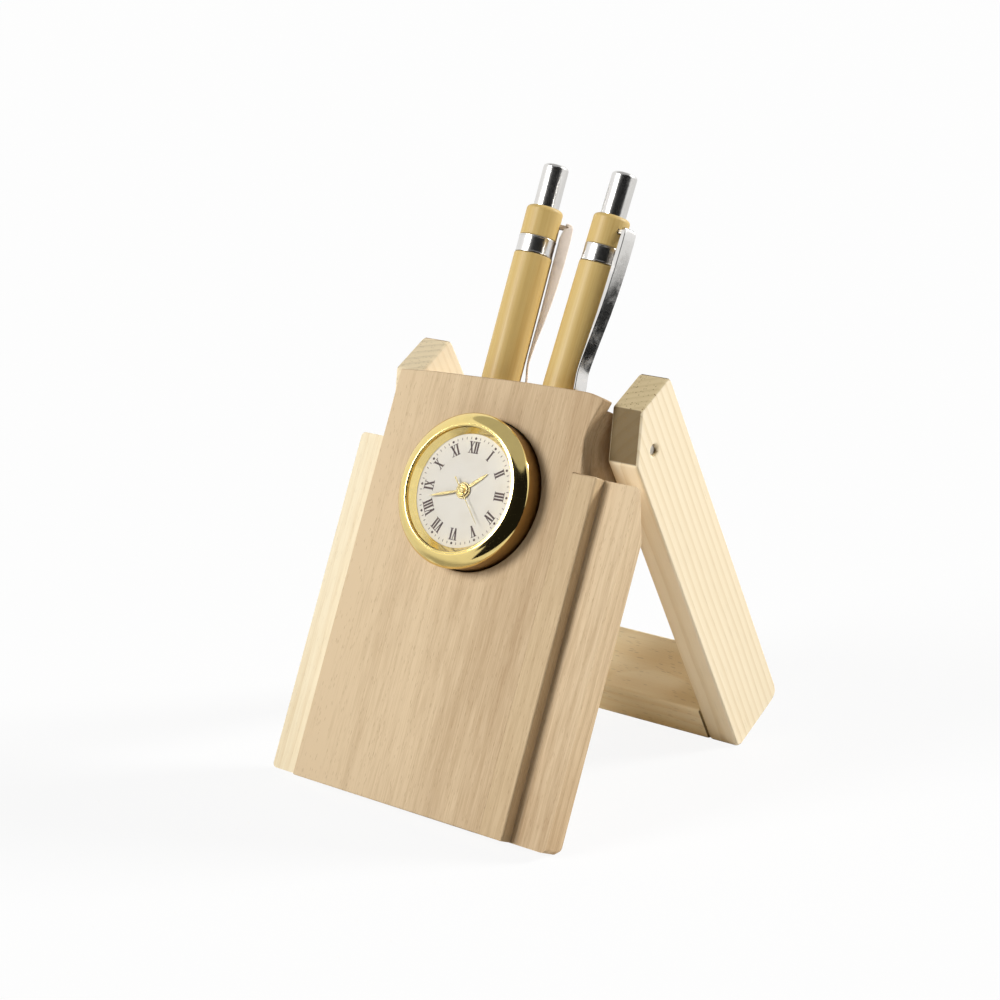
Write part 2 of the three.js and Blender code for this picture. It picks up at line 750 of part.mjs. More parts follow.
// The stator is a flat iron strip: an eye round the magnet and a bar that ends above the coil.
const statorFoot = highLevel + (magnetLength - statorThickness) / 2;
const coilHeight = housingInside + runningGap + coilRadius;
const wallReach = (length, halfWidth) => Math.sqrt(movementRadius ** 2 - (length / 2) ** 2) - halfWidth;
const coilPlace = [0, -wallReach(coilLength, coilRadius)];

function stator() {
  const eyeRadius = magnetRadius + statorGap + statorWidth / 2;
  const eye = rod(eyeRadius, statorFoot, statorFoot + statorThickness, penSides).translate(...rotorAxis, 0);
  const coilEnd = -coilLength / 2 - seatGap;
  const strip = slab(outline([
    [rotorAxis[0] - statorWidth / 2, rotorAxis[1]], [coilEnd - statorWidth, coilPlace[1]],
    [coilEnd, coilPlace[1]], [rotorAxis[0] + statorWidth / 2, rotorAxis[1]],
  ]), statorFoot, statorFoot + statorThickness);
  const windowRadius = magnetRadius + statorGap;
  const window = rod(windowRadius, statorFoot - drillOverrun, statorFoot + drillOverrun, penSides);
  return cut(join(eye, strip), window.translate(...rotorAxis, 0));
}

function coil() {
  return rod(coilRadius, -coilLength / 2 + runningGap, coilLength / 2, penSides).rotateY(Math.PI / 2)
    .translate(...coilPlace, coilHeight);
}

function circuitBoard() {
  const foot = housingInside + runningGap;
  const half = circuitLength / 2;
  return box(-half, half, -circuitWidth / 2, circuitWidth / 2, foot, foot + circuitThickness)
    .translate(0, wallReach(circuitLength, circuitWidth / 2), 0);
}

function battery() {
  const foot = housingFoot + runningGap;
  return rod(batteryRadius, foot, foot + batteryThickness, penSides).translate(...batteryAxis, 0);
}

function batteryCover() {
  const disc = rod(batteryCoverRadius, caseBack, housingFoot - glueLine, penSides);
  const slot = box(-batteryCoverRadius / 2, batteryCoverRadius / 2, -coinSlotWidth / 2, coinSlotWidth / 2,
    caseBack - drillOverrun, caseBack + coinSlotDepth);
  return cut(disc, slot).translate(...batteryAxis, 0);
}

function settingKnob() {
  const disc = rod(knobRadius, caseBack, caseBack + caseWall - glueLine, penSides);
  const slot = box(-knobRadius, knobRadius, -coinSlotWidth / 2, coinSlotWidth / 2,
    caseBack - drillOverrun, caseBack + coinSlotDepth);
  return cut(disc, slot).translate(...minuteAxis, 0);
}

// A pen, in its own frame: z up from the tip, the clip on the front side before it is turned.
const penLength = blockTop - boreFloor + penShown;
const upperTop = penLength - buttonShown;
const upperFoot = upperTop - upperLength;
const ringFoot = upperFoot - glueLine - ringHeight;
const barrelFoot = noseLength + glueLine;
const barrelTop = ringFoot - glueLine;
const clipTop = upperTop - clipDrop;
const clipTip = blockTop - boreFloor + clipAboveBlock;
const clipLength = clipTop - clipTip;
const buttonHole = buttonRadius + runningGap;
const buttonFlangeTop = ringFoot - seatGap;
const buttonFoot = buttonFlangeTop - buttonFlange;
const sleeveTop = buttonFoot - glueLine;
const sleeveFoot = sleeveTop - sleeveLength;
const springTop = springFoot + springLength;

function penNose() {
  const spigotRadius = barrelBore - runningGap;
  const chamber = springRadius + runningGap;
  return turned([
    [noseHoleRadius, 0], [noseTipRadius, 0],
    [barrelRadius * noseCheekRadiusShare, noseLength * noseCheekHeightShare],
    [barrelRadius, noseLength], [spigotRadius, noseLength], [spigotRadius, noseLength + noseSpigot],
    [chamber, noseLength + noseSpigot], [chamber, springFoot - glueLine],
    [noseHoleRadius, springFoot - glueLine],
  ], penSides);
}

function penBarrel() {
  return tube(barrelBore, barrelRadius, barrelFoot, barrelTop, penSides);
}

function penRing() {
  return tube(buttonHole, ringRadius, ringFoot, ringFoot + ringHeight, penSides);
}

function clipTab(width, height, gap) {
  const middle = clipTop - clipTabHeight;
  return box(-width / 2, width / 2, -upperRadius - clipStand / 2, clipTabInside - upperRadius + gap,
    middle - height / 2, middle + height / 2);
}

function penUpper() {
  const corner = upperShoulder * roundedCornerShare;
  const body = turned([
    [buttonHole, upperFoot], [upperRadius, upperFoot], [upperRadius, upperTop - upperShoulder],
    [upperRadius - corner, upperTop - corner], [upperRadius - upperShoulder, upperTop],
    [buttonHole, upperTop],
  ], penSides);
  return cut(body, clipTab(clipTabWidth + 2 * runningGap, clipTabHeight + 2 * runningGap, runningGap));
}

// The clip is a folded strip: deep sides near its root, close to the barrel, and a bent tip.
function penClip() {
  const outer = clipOuterShares.map(([stand, down]) =>
    [-barrelRadius - clipStand * stand, clipTop - clipLength * down]);
  const bend = clipTop - clipLength * clipBendShare;
  const inner = -barrelRadius - clipGap;
  const shape = outline([
    ...outer, [inner - clipThickness, bend], [-barrelRadius - clipTipStand, clipTip],
    [clipThickness - barrelRadius - clipTipStand, clipTip], [inner, bend], [inner, clipTop],
  ]);
  return join(crosswise(shape, -clipWidth / 2, clipWidth / 2), clipTab(clipTabWidth, clipTabHeight, 0));
}

// The button runs through the ring, and a flange at its foot keeps it in the barrel.
function penButton() {
  const flangeRadius = barrelBore - runningGap;
  const corner = buttonRound * roundedCornerShare;
  return turned([
    [0, buttonFoot], [flangeRadius, buttonFoot], [flangeRadius, buttonFlangeTop],
    [buttonRadius, buttonFlangeTop], [buttonRadius, penLength - buttonRound],
    [buttonRadius - corner, penLength - corner],
    [buttonRadius - buttonRound, penLength], [0, penLength],
  ], penSides);
}

function penSleeve() {
  return turned([
    [0, sleeveFoot], [sleeveRadius, sleeveFoot], [sleeveRadius, sleeveTop], [0, sleeveTop],
  ], arborSides);
}

function penRefill() {
  const tipTop = refillTipFoot + refillTipLength;
  const collarFoot = springTop + glueLine;
  return turned([
    [0, refillTipFoot], [refillTipRadius, refillTipFoot + refillTipRadius],
    [noseHoleRadius - seatGap, tipTop / 2], [noseHoleRadius - seatGap, tipTop],
    [refillRadius, tipTop + refillRadius], [refillRadius, collarFoot],
    [refillCollarRadius, collarFoot], [refillCollarRadius, collarFoot + refillCollarHeight],
    [refillRadius, collarFoot + refillCollarHeight], [refillRadius, sleeveFoot - glueLine],
    [0, sleeveFoot - glueLine],
  ], arborSides);
}

function penSpring() {
  return tube(springRadius - springWall, springRadius, springFoot, springTop, arborSides);
}

function penGroup(pen) {
  const place = new THREE.Group();
  place.applyMatrix4(penPlace(pen));
  const turn = new THREE.Group();
  turn.rotation.z = pen.clipTurn;
  const name = (part) => `${pen.name}_pen_${part}`;
  turn.add(
    piece(name('nose'), penNose(), 'chrome'),
    piece(name('barrel'), penBarrel(), 'bamboo'),
    piece(name('ring'), penRing(), 'chrome'),
    piece(name('upper'), penUpper(), 'bamboo'),
    piece(name('clip'), penClip(), 'chrome'),
    piece(name('button'), penButton(), 'chrome'),
    piece(name('sleeve'), penSleeve(), 'whitePlastic'),
    piece(name('refill'), penRefill(), 'whitePlastic'),
    piece(name('spring'), penSpring(), 'steel'));
  place.add(turn);
  return place;
}

function clockGroup() {
  const clock = new THREE.Group();
  clock.rotation.x = Math.PI / 2;
  clock.position.z = clockHeight;
  clock.add(
    piece('clock_case', clockCase(), 'gold'),
    piece('clock_bezel', bezel(), 'gold'),
    piece('clock_crystal', crystal(), 'glass'),
    piece('grip_ring', gripRing(), 'rubber'),
    piece('dial_ring', dialRing(), 'gold'),
    piece('dial', dial(), 'dialSilver'),
    piece('dial_spacer', dialSpacer(), 'whitePlastic'),
    piece('hour_hand', hourHand(), 'gold'),
    piece('minute_hand', minuteHand(), 'gold'),
    piece('second_hand', secondHand(), 'gold'),
    piece('movement_housing', movementHousing(), 'blackPlastic'),
    piece('main_plate', mainPlate(), 'whitePlastic'),
    piece('seconds_wheel', secondsWheel(), 'brass'),
    piece('third_wheel', thirdWheel(), 'brass'),
    piece('centre_wheel', centreWheel(), 'brass'),
    piece('cannon_pinion', cannonPinion(), 'brass'),
    piece('minute_wheel', minuteWheel(), 'whitePlastic'),
    piece('hour_wheel', hourWheel(), 'brass'),
    piece('intermediate_wheel', intermediateWheel(), 'whitePlastic'),
    piece('rotor', rotor(), 'steel'),
    piece('stator', stator(), 'steel'),
    piece('coil', coil(), 'copper'),
    piece('circuit_board', circuitBoard(), 'circuitGreen'),
    piece('battery', battery(), 'steel'),
    piece('battery_cover', batteryCover(), 'blackPlastic'),
    piece('setting_knob', settingKnob(), 'blackPlastic'));
  return clock;
}

function bodyGroup() {
  const body = new THREE.Group();
  body.rotation.x = -bodyLean;
  body.position.z = flatFront * Math.sin(bodyLean);
  body.add(
    piece('front_panel', frontPanel(), 'panelWood'),
    piece('front_stave', box(staveX + glueLine, panelHalfWidth, 0, panelDepth, 0, wingHeight), 'staveWood'),
    piece('pen_block', penBlock(), 'panelWood'),
    piece('left_wing', mirrored(wing()), 'wingWood'),
    piece('right_wing', wing(), 'panelWood'),
    piece('left_pivot_pin', mirrored(pivotPin()), 'steel'),
    piece('right_pivot_pin', pivotPin(), 'steel'),
    clockGroup(), penGroup(leftPen), penGroup(rightPen));
  return body;
}

function frameGroup() {
  const frame = new THREE.Group();
  frame.rotation.x = frameLean;
  const pinY = pinHeight * Math.sin(bodyLean) + pinFromFront * Math.cos(bodyLean);
  frame.position.y = pinY + pinUpArm * Math.sin(frameLean) - pinInArm * Math.cos(frameLean);
  frame.position.z = pinFloorHeight - pinUpArm * Math.cos(frameLean) - pinInArm * Math.sin(frameLean);
  frame.add(
    piece('left_arm', mirrored(arm()), 'frameWood'),
    piece('right_arm', arm(), 'frameWood'),
    piece('crossbar', crossbar(), 'frameWood'),
    piece('left_dowel', mirrored(dowel()), 'wingWood'),
    piece('right_dowel', dowel(), 'wingWood'));
  return frame;
}

// The origin stands under the middle of the outline, which runs from the panel's foot to the heels.
function stand() {
  const whole = new THREE.Group();
  whole.add(bodyGroup(), frameGroup());
  const middle = new THREE.Box3().setFromObject(whole, true).getCenter(new THREE.Vector3());
  whole.position.y = -middle.y;
  return whole;
}

export default stand();
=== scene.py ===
"""Pen holder clock: a leaning wooden body with a gilt clock insert and two bamboo pens, propped by a frame.

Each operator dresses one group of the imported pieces, and the sidebar panel lists them in making order.
"""

import json
import math

import bmesh
import bpy
from bpy.props import FloatProperty, FloatVectorProperty, IntProperty, PointerProperty
from mathutils import Matrix, Vector


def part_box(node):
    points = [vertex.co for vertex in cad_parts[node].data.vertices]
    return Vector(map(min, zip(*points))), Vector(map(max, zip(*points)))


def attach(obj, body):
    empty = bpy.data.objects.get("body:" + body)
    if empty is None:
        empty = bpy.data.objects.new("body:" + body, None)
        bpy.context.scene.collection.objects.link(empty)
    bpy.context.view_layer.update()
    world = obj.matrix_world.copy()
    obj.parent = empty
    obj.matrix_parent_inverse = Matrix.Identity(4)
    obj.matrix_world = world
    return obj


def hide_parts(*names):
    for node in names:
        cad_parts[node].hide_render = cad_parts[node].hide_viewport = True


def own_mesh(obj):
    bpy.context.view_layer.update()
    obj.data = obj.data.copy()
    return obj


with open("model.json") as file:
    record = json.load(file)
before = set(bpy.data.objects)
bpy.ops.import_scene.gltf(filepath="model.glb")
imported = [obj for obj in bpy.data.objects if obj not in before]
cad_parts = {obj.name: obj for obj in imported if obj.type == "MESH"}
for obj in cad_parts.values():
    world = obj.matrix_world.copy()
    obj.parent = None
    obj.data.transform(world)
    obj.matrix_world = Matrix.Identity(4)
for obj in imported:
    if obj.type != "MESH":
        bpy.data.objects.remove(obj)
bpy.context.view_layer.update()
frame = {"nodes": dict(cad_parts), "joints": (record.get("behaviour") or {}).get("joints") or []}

bl_info = {
    "name": "Pen Holder Clock",
    "version": (1, 0, 0),
    "blender": (4, 5, 0),
    "location": "View3D > Sidebar > Pen Clock",
    "description": "Dresses a wooden pen holder clock with its pens and frame, and lights it",
    "category": "Object",
}

MM = 0.001
JOINTS = {joint["name"]: joint for joint in frame["joints"]}

# Sizes that the wooden pieces share with the solids, in millimetres in the body's own frame
PANEL_DEPTH = 3.4
SEAM_X = 24.4
SEAM_CLOSED = 0.07
WING_HEIGHT = 81.2
WING_HALF_WIDTH = 40.0
BLOCK_HALF_WIDTH = 26.9
FRAME_LEAN = math.radians(29.1)
PIN_RADIUS = 0.8
PIN_HEAD_RADIUS = 1.2

# Edges that stay sharp in the light, edges that are sanded, and facets that are joined into one face
SHARP_ANGLE = math.radians(32)
EASED_ANGLE = math.radians(24)
FLAT_ANGLE = math.radians(0.5)
WELD = 0.003

# The turn that lays the grain along a piece's X
LYING = (0, math.radians(90), 0)

# Clock insert, heights measured outwards from the panel's face
DIAL_MIDDLE = 4.2
DIAL_FACE = 4.4
CASE_RADIUS = 17.3
CASE_BACK = -3.1
CASE_FRONT = 4.6
BEZEL_FOOT = 4.7
BEZEL_RADIUS = 17.8
BEZEL_BORE = 14.86
LIP_HEIGHT = 6.86
DOME_FOOT = 4.95
DOME_WIDE = 5.0
DOME_HIGH = 2.95
DOME_ANGLES = (80, 25)
GLASS_RADIUS = 14.72
GLASS_FOOT = 6.0
GLASS_TOP = 6.9
DIAL_TURN = math.radians(1.8)
SHOWN_MINUTES = 42 + 23 / 60
SHOWN_HOURS = 1 + SHOWN_MINUTES / 60
SHOWN_SECONDS = 23

# Hands: height, half widths from the hub to the tip, and the radii of the hub's bore and rim
HAND_SHAPES = {
    "hour": (4.65, (0.3, 0.42, 0.36, 0.12), 1.55, 1.9),
    "minute": (5.05, (0.22, 0.34, 0.28, 0.09), 1.1, 1.45),
    "second": (5.45, (0.09, 0.085, 0.07, 0.05), 0, 0.75),
}
BLADE_EDGE = 0.07
COIL_WIRE = 0.16
MARK_RISE = 0.018

# Dial, radii of the minute marks
DOT_CENTRE = 12.0
DOT_RADIUS = 0.3
MARK_CORNERS = ((11.75, 0.075), (12.3, 0.075), (12.3, -0.075), (11.75, -0.075))
NUMERALS = ("I", "II", "III", "IV", "V", "VI", "VII", "VIII", "IX", "X", "XI", "XII")
LETTER_WIDTHS = {"I": 0.2, "V": 0.46, "X": 0.5}
LETTER_GAP = 0.05

# Pens, heights measured up from the tip
BARREL_FOOT = 14.1
BARREL_TOP = 118.2
BARREL_RADIUS = 4.5
BARREL_BORE = 3.4
RING_FOOT = 118.3
RING_TOP = 122.4
RING_RADIUS = 4.4
UPPER_FOOT = 122.5
UPPER_TOP = 129.7
UPPER_RADIUS = 4.3
UPPER_BORE = 3.1
BUTTON_FOOT = 115.8
BUTTON_CROWN = 139.92
BUTTON_RADIUS = 3.0
SPRING_FOOT = 8.0
SPRING_TOP = 25.0
SPRING_RADIUS = 2.05
SPRING_WIRE = 0.22
SPRING_TURNS = 11
NOSE = ((1.25, 0), (1.4, 0), (1.55, 0.15), (2.3, 4.2), (3.1, 7.6), (3.75, 10.2), (4.25, 12.4), (4.46, 13.6),
        (4.46, 14.0), (3.3, 14.0), (3.3, 20.0), (2.4, 20.0), (2.4, 7.9), (1.25, 7.9))
CLIP_TURNS = {"left": math.radians(219), "right": math.radians(169)}
CLIP_TOP = 127.3
CLIP_WALL = 0.28
TAB_HEIGHT = CLIP_TOP - 1.0
TAB_ENDS = (-BARREL_RADIUS - 1.6, -3.55)
SLOT_ENDS = (-6.5, -3.4)

# A clip's bend from root to tip: the face's stand off the barrel, its drop from the clip's top, its share of
# the half width, and the depth of the flanges
CLIP_BEND = (
    (1.0, 0.0, 0.72, 0.55), (1.95, 0.02, 0.86, 0.8), (2.55, 0.35, 0.97, 1.4), (2.82, 1.1, 1, 2.1),
    (2.93, 3.0, 1, 2.55), (2.95, 6.2, 1, 2.6), (2.9, 10.0, 0.99, 2.55), (2.7, 15.0, 0.98, 2.3),
    (2.3, 20.0, 0.97, 1.85), (1.75, 24.5, 0.96, 1.35), (1.25, 28.5, 0.96, 0.9), (0.92, 32.0, 0.96, 0.6),
    (0.86, 33.6, 0.95, 0.42), (0.98, 34.8, 0.97, 0.4), (1.3, 36.4, 1, 0.4), (1.55, 37.9, 1, 0.4),
    (1.6, 38.4, 0.93, 0.4))
FLANGE_SHARES = {"left": 1.0, "right": 0.5}
LEAST_FLANGE = 0.4

# Stage: lamps as azimuth from the front and to the right, height and width in degrees; cards with their two
# ends as azimuths, their rims as reach and height in millimetres, and their tone
KEY_LAMP = (-26, 27, 24)
SIDE_LAMP = (140, 28, 18)
CARDS = (
    ("dark_wall_card", (-12, 100), ((700, 2), (700, 950)), 0.012),
    ("dark_floor_card", (-2, 128), ((120, 2), (700, 2)), 0.012),
    ("grey_ceiling_card", (-180, 180), ((0, 900), (720, 900)), 0.5),
)
CARD_STEPS = 24
FLOOR_REACH = 3200
CAMERA_SPOT = (0.332368, -0.429739, 0.215981)
CAMERA_RIGHT = (0.7819, 0.6234, 0)
CAMERA_BACK = (0.6001, -0.7526, 0.2710)


def linear(red, green, blue):
    """A colour given as it looks on a screen, 0 to 255, in the plain light values that shaders use."""
    def channel(value):
        share = value / 255
        return share / 12.92 if share <= 0.04045 else ((share + 0.055) / 1.055) ** 2.4
    return tuple(channel(value) for value in (red, green, blue))


def colour_property(name, description, shown):
    """A colour that a user can change, with its default as it looks on a screen."""
    return FloatVectorProperty(name=name, description=description, default=linear(*shown), subtype="COLOR",
                               size=3, min=0, max=1)


def number_property(name, description, default, low=0, **limits):
    """A number that a user can change."""
    return FloatProperty(name=name, description=description, default=default, min=low, **limits)


def length_property(name, description, millimetres):
    """A length that a user can change, shown in the scene's units."""
    return number_property(name, description, millimetres * MM, unit="LENGTH", precision=5)


def sides_property(default, low, high):
    """The number of sides of turned pieces."""
    return IntProperty(name="Sides", description="Number of sides of the turned pieces", default=default,
                       min=low, max=high)


# Places

def place_at(origin, up, across=(1, 0, 0)):
    """A place whose Z runs along up and whose X is as near as it can be to across."""
    z_axis = Vector(up).normalized()
    y_axis = z_axis.cross(Vector(across)).normalized()
    place = Matrix((y_axis.cross(z_axis), y_axis, z_axis)).transposed().to_4x4()
    place.translation = Vector(origin)
    return place


def middle_of(node):
    """The middle of a node's box."""
    low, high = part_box(node)
    return (low + high) / 2


def own_points(node, place):
    """A solid's points in a place's own frame, in millimetres."""
    inverse = place.inverted()
    return [(inverse @ vertex.co) / MM for vertex in frame["nodes"][node].data.vertices]


def clock_place():
    """The clock's own frame: Z outwards along the hands' axis, Y up the panel, zero on the panel's face."""
    outwards = Vector(JOINTS["minute_turn"]["axis"]).normalized()
    return place_at(middle_of("dial") - outwards * DIAL_MIDDLE * MM, outwards)


def body_place():
    """The body's own frame: Z up along the panel, Y through it from the face, zero at the panel's foot."""
    outwards = Vector(JOINTS["minute_turn"]["axis"]).normalized()
    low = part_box("front_panel")[0]
    return place_at((0, low.y, low.z + PANEL_DEPTH * MM * outwards.z), (0, outwards.z, -outwards.y))


def frame_place():
    """The frame's own frame: Z up along the arms, zero at the pivot."""
    pivot = Vector(JOINTS["frame_fold"]["pos_m"])
    return place_at(pivot, (0, -math.sin(FRAME_LEAN), math.cos(FRAME_LEAN)))


def pen_place(side):
    """A pen's own frame: Z up from its tip, turned so that its clip stands on the minus X side."""
    up = Vector(JOINTS[f"{side}_pen_lift"]["axis"]).normalized()
    halfway = (BARREL_FOOT + BARREL_TOP) / 2
    place = place_at(middle_of(f"{side}_pen_barrel") - up * halfway * MM, up)
    return place @ Matrix.Rotation(CLIP_TURNS[side], 4, "Z")


# Making pieces

def put(name, data, place=None):
    """Puts a mesh, lamp or camera in the scene, in its place where one is given."""
    thing = bpy.data.objects.new(name, data)
    bpy.context.scene.collection.objects.link(thing)
    if place is not None:
        thing.matrix_world = place
    return thing


def shade(mesh):
    """Smooth shading that breaks at the mesh's sharp edges."""
    mesh.shade_smooth()
    mesh.set_sharp_from_angle(angle=SHARP_ANGLE)


def add_piece(name, mesh, place, material, body, slot, *nodes):
    """Puts a mesh in its place with its finish and body, and lets it stand for the solids it dresses."""
    shade(mesh)
    piece = put(name, mesh, place)
    mesh.materials.append(material)
    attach(piece, body)
    if nodes:
        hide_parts(*nodes)
    return piece


def add_turned(name, profile, sides, *rest):
    """Adds a turned piece; the rest is what add_piece takes after its mesh."""
    return add_piece(name, turned(name, profile, sides), *rest)


def add_board(node, place, wood, body, slot, easing, change=None, **edges):
    """Dresses a board in wood, its broad flat faces kept flat in the light beside their rounded edges.

    change is a last alteration of its mesh, and edges is what softened takes after the width.
    """
    name = f"{node}_wood"
    mesh = softened(name, node, place, easing, **edges)
    if change:
        change(mesh)
    piece = add_piece(name, mesh, place, wood, body, slot, node)
    even = piece.modifiers.new("even_normals", "WEIGHTED_NORMAL")
    even.keep_sharp = True
    even.weight = 80


def dress(material, *nodes):
    """Gives solids that keep their own shape a finish."""
    for node in nodes:
        mesh = frame["nodes"][node].data
        mesh.materials.clear()
        mesh.materials.append(material)


def mesh_from(name, points, faces):
    """A mesh from points in millimetres."""
    mesh = bpy.data.meshes.new(name)
    mesh.from_pydata([Vector(point) * MM for point in points], [], faces)
    mesh.validate()
    mesh.update()
    return mesh


def sketch_from(name, points, faces):
    """A bmesh from points in millimetres."""
    mesh = mesh_from(name, points, faces)
    sketch = bmesh.new()
    sketch.from_mesh(mesh)
    bpy.data.meshes.remove(mesh)
    return sketch


def mesh_from_sketch(name, sketch):
    """A mesh from a bmesh in metres, with its faces turned outwards."""
    bmesh.ops.recalc_face_normals(sketch, faces=sketch.faces)
    mesh = bpy.data.meshes.new(name)
    sketch.to_mesh(mesh)
    sketch.free()
    return mesh


def skin(firsts, size):
    """Faces that join rings of points and close both ends; a ring is given by its first point's number."""
    faces = [[firsts[0] + step for step in range(size)][::-1], [firsts[-1] + step for step in range(size)]]
    for this, after in zip(firsts, firsts[1:]):
        for step in range(size):
            beside = (step + 1) % size
            faces.append([this + step, this + beside, after + beside, after + step])
    return faces


def bar_points(ends, half_width, middle, half_height):
    """Points of a square bar along X, four at each end."""
    corners = ((-half_width, -half_height), (half_width, -half_height), (half_width, half_height),
               (-half_width, half_height))
    return [(x, y, middle + z) for x in ends for y, z in corners]


def cut_out(piece, name, mesh, place):
    """Takes another mesh's room out of a piece."""
    cutter = put(name, mesh, place)
    cut = piece.modifiers.new(name, "BOOLEAN")
    cut.operation = "DIFFERENCE"
    cut.solver = "EXACT"
    cut.object = cutter
    shown = piece.evaluated_get(bpy.context.evaluated_depsgraph_get())
    result = bpy.data.meshes.new_from_object(shown)
    piece.modifiers.clear()
    piece.data = result
    shade(result)
    bpy.data.objects.remove(cutter)


def turned(name, profile, sides):
    """A turned solid from a closed profile of radius and height; points on the axis become one."""
    points = []
    rows = []
    for radius, height in profile:
        if radius == 0:
            rows.append([len(points)] * sides)
            points.append((0, 0, height))
            continue
        rows.append(list(range(len(points), len(points) + sides)))
        for step in range(sides):
            angle = 2 * math.pi * step / sides
            points.append((radius * math.cos(angle), radius * math.sin(angle), height))
    faces = []
    for this, after in zip(rows, rows[1:] + rows[:1]):
        if this[0] == this[1] and after[0] == after[1]:
            continue
        for step in range(sides):
            beside = (step + 1) % sides
            corners = [this[step], this[beside], after[beside], after[step]]
            faces.append([corner for index, corner in enumerate(corners) if corner not in corners[:index]])
    return mesh_from_sketch(name, sketch_from(name, points, faces))


def arc(centre_radius, centre_height, radius, start, end, steps):
    """Points of a round edge in a turned profile, its angles in degrees from the outward direction."""
    angles = [math.radians(start + (end - start) * step / steps) for step in range(steps + 1)]
    return [(centre_radius + radius * math.cos(angle), centre_height + radius * math.sin(angle))
            for angle in angles]


def softened(name, node, place, width, sharp=None, wider=None):
    """A copy of a solid in its own frame, its edges eased by a width in millimetres.

    sharp tells from an edge's middle, in millimetres, whether it stays as sawn. wider is a test of middle
    and edge, with the width that the edges which pass it are rounded by first.
    """
    sketch = bmesh.new()
    sketch.from_mesh(frame["nodes"][node].data)
    sketch.transform(place.inverted())
    bmesh.ops.remove_doubles(sketch, verts=sketch.verts, dist=WELD * MM)
    bmesh.ops.dissolve_limit(sketch, angle_limit=FLAT_ANGLE, verts=sketch.verts, edges=sketch.edges)

    def ease(test, offset, segments):
        edges = [edge for edge in sketch.edges
                 if edge.is_manifold and edge.calc_face_angle(0) > EASED_ANGLE
                 and test((edge.verts[0].co + edge.verts[1].co) / 2 / MM, edge)]
        bmesh.ops.bevel(sketch, geom=edges, offset=offset * MM, segments=segments, profile=0.5,
                        affect="EDGES")

    if wider:
        ease(*wider, 6)
    ease(lambda middle, edge: not (sharp and sharp(middle)), width, 3)
    return mesh_from_sketch(name, sketch)


def helix(name, radius, wire, foot, top, turns, steps=20, sides=8):
    """A mesh of a wound wire whose end turns lie close."""
    points = []
    count = turns * steps
    for step in range(count + 1):
        share = step / count
        eased = share - 0.6 * math.sin(2 * math.pi * share) / (2 * math.pi)
        angle = 2 * math.pi * turns * share
        outwards = Vector((math.cos(angle), math.sin(angle), 0))
        centre = radius * outwards + Vector((0, 0, foot + wire + (top - foot - 2 * wire) * eased))
        for side in range(sides):
            around = 2 * math.pi * side / sides
            points.append(centre + outwards * wire * math.cos(around)
                          + Vector((0, 0, wire * math.sin(around))))
    return mesh_from(name, points, skin(range(0, len(points), sides), sides))


# Shared surface effects

class Wiring:
    """Adds nodes to a node tree and joins them."""

    def __init__(self, tree):
        self.tree = tree

    def add(self, kind, inputs=None, **settings):
        node = self.tree.nodes.new(kind)
        for key, value in settings.items():
            setattr(node, key, value)
        for key, value in (inputs or {}).items():
            self.feed(node.inputs[key], value)
        return node

    def feed(self, socket, value):
        if isinstance(value, bpy.types.NodeSocket):
            self.tree.links.new(value, socket)
        elif socket.type == "RGBA":
            socket.default_value = (*value[:3], 1)
        else:
            socket.default_value = value

    def math(self, operation, first, second=0.0, third=None, clamp=False):
        inputs = {0: first, 1: second}
        if third is not None:
            inputs[2] = third
        return self.add("ShaderNodeMath", inputs, operation=operation, use_clamp=clamp).outputs[0]

    def times(self, first, second, third=None, clamp=False):
        """Two values multiplied, with a third added where it is given."""
        return self.math("MULTIPLY" if third is None else "MULTIPLY_ADD", first, second, third, clamp)

    def vector(self, operation, first, second):
        return self.add("ShaderNodeVectorMath", {0: first, 1: second}, operation=operation).outputs[0]

    def ramp(self, value, low, high, start=0.0, end=1.0, smooth=True):
        inputs = {"Value": value, "From Min": low, "From Max": high, "To Min": start, "To Max": end}
        kind = "SMOOTHSTEP" if smooth else "LINEAR"
        return self.add("ShaderNodeMapRange", inputs, interpolation_type=kind).outputs["Result"]

    def mix(self, share, first, second):
        return self.add("ShaderNodeMix", {0: share, 6: first, 7: second}, data_type="RGBA").outputs[2]

    def noise(self, position, scale, detail=2.0, roughness=0.5, output="Fac"):
        """Cloudy noise; its scale is one number, or one each across, through and along the grain."""
        if isinstance(scale, tuple):
            position = self.vector("MULTIPLY", position, scale)
            scale = 1.0
        inputs = {"Vector": position, "Scale": scale, "Detail": detail, "Roughness": roughness}
        return self.add("ShaderNodeTexNoise", inputs).outputs[output]

    def position(self, turn=(0, 0, 0), shift=(0, 0, 0)):
        """The piece's own coordinates in millimetres."""
        own = self.add("ShaderNodeTexCoord").outputs["Object"]
        return self.add("ShaderNodeMapping", {"Vector": own, "Location": shift, "Rotation": turn,
                                              "Scale": (1 / MM,) * 3}).outputs[0]

    def blend(self, share, first, second):
        """Two shaders mixed."""
        return self.add("ShaderNodeMixShader", {0: share, 1: first.outputs[0], 2: second.outputs[0]})

    def surface(self, shader):
        """Makes a shader the one that the material shows."""
        self.feed(self.tree.nodes["Material Output"].inputs["Surface"], shader.outputs[0])

    def outcome(self, colour, roughness, height):
        """Closes an effect's node group with what it gives to a shader."""
        self.add("NodeGroupOutput", {"Color": colour, "Roughness": roughness, "Height": height})
        return self.tree


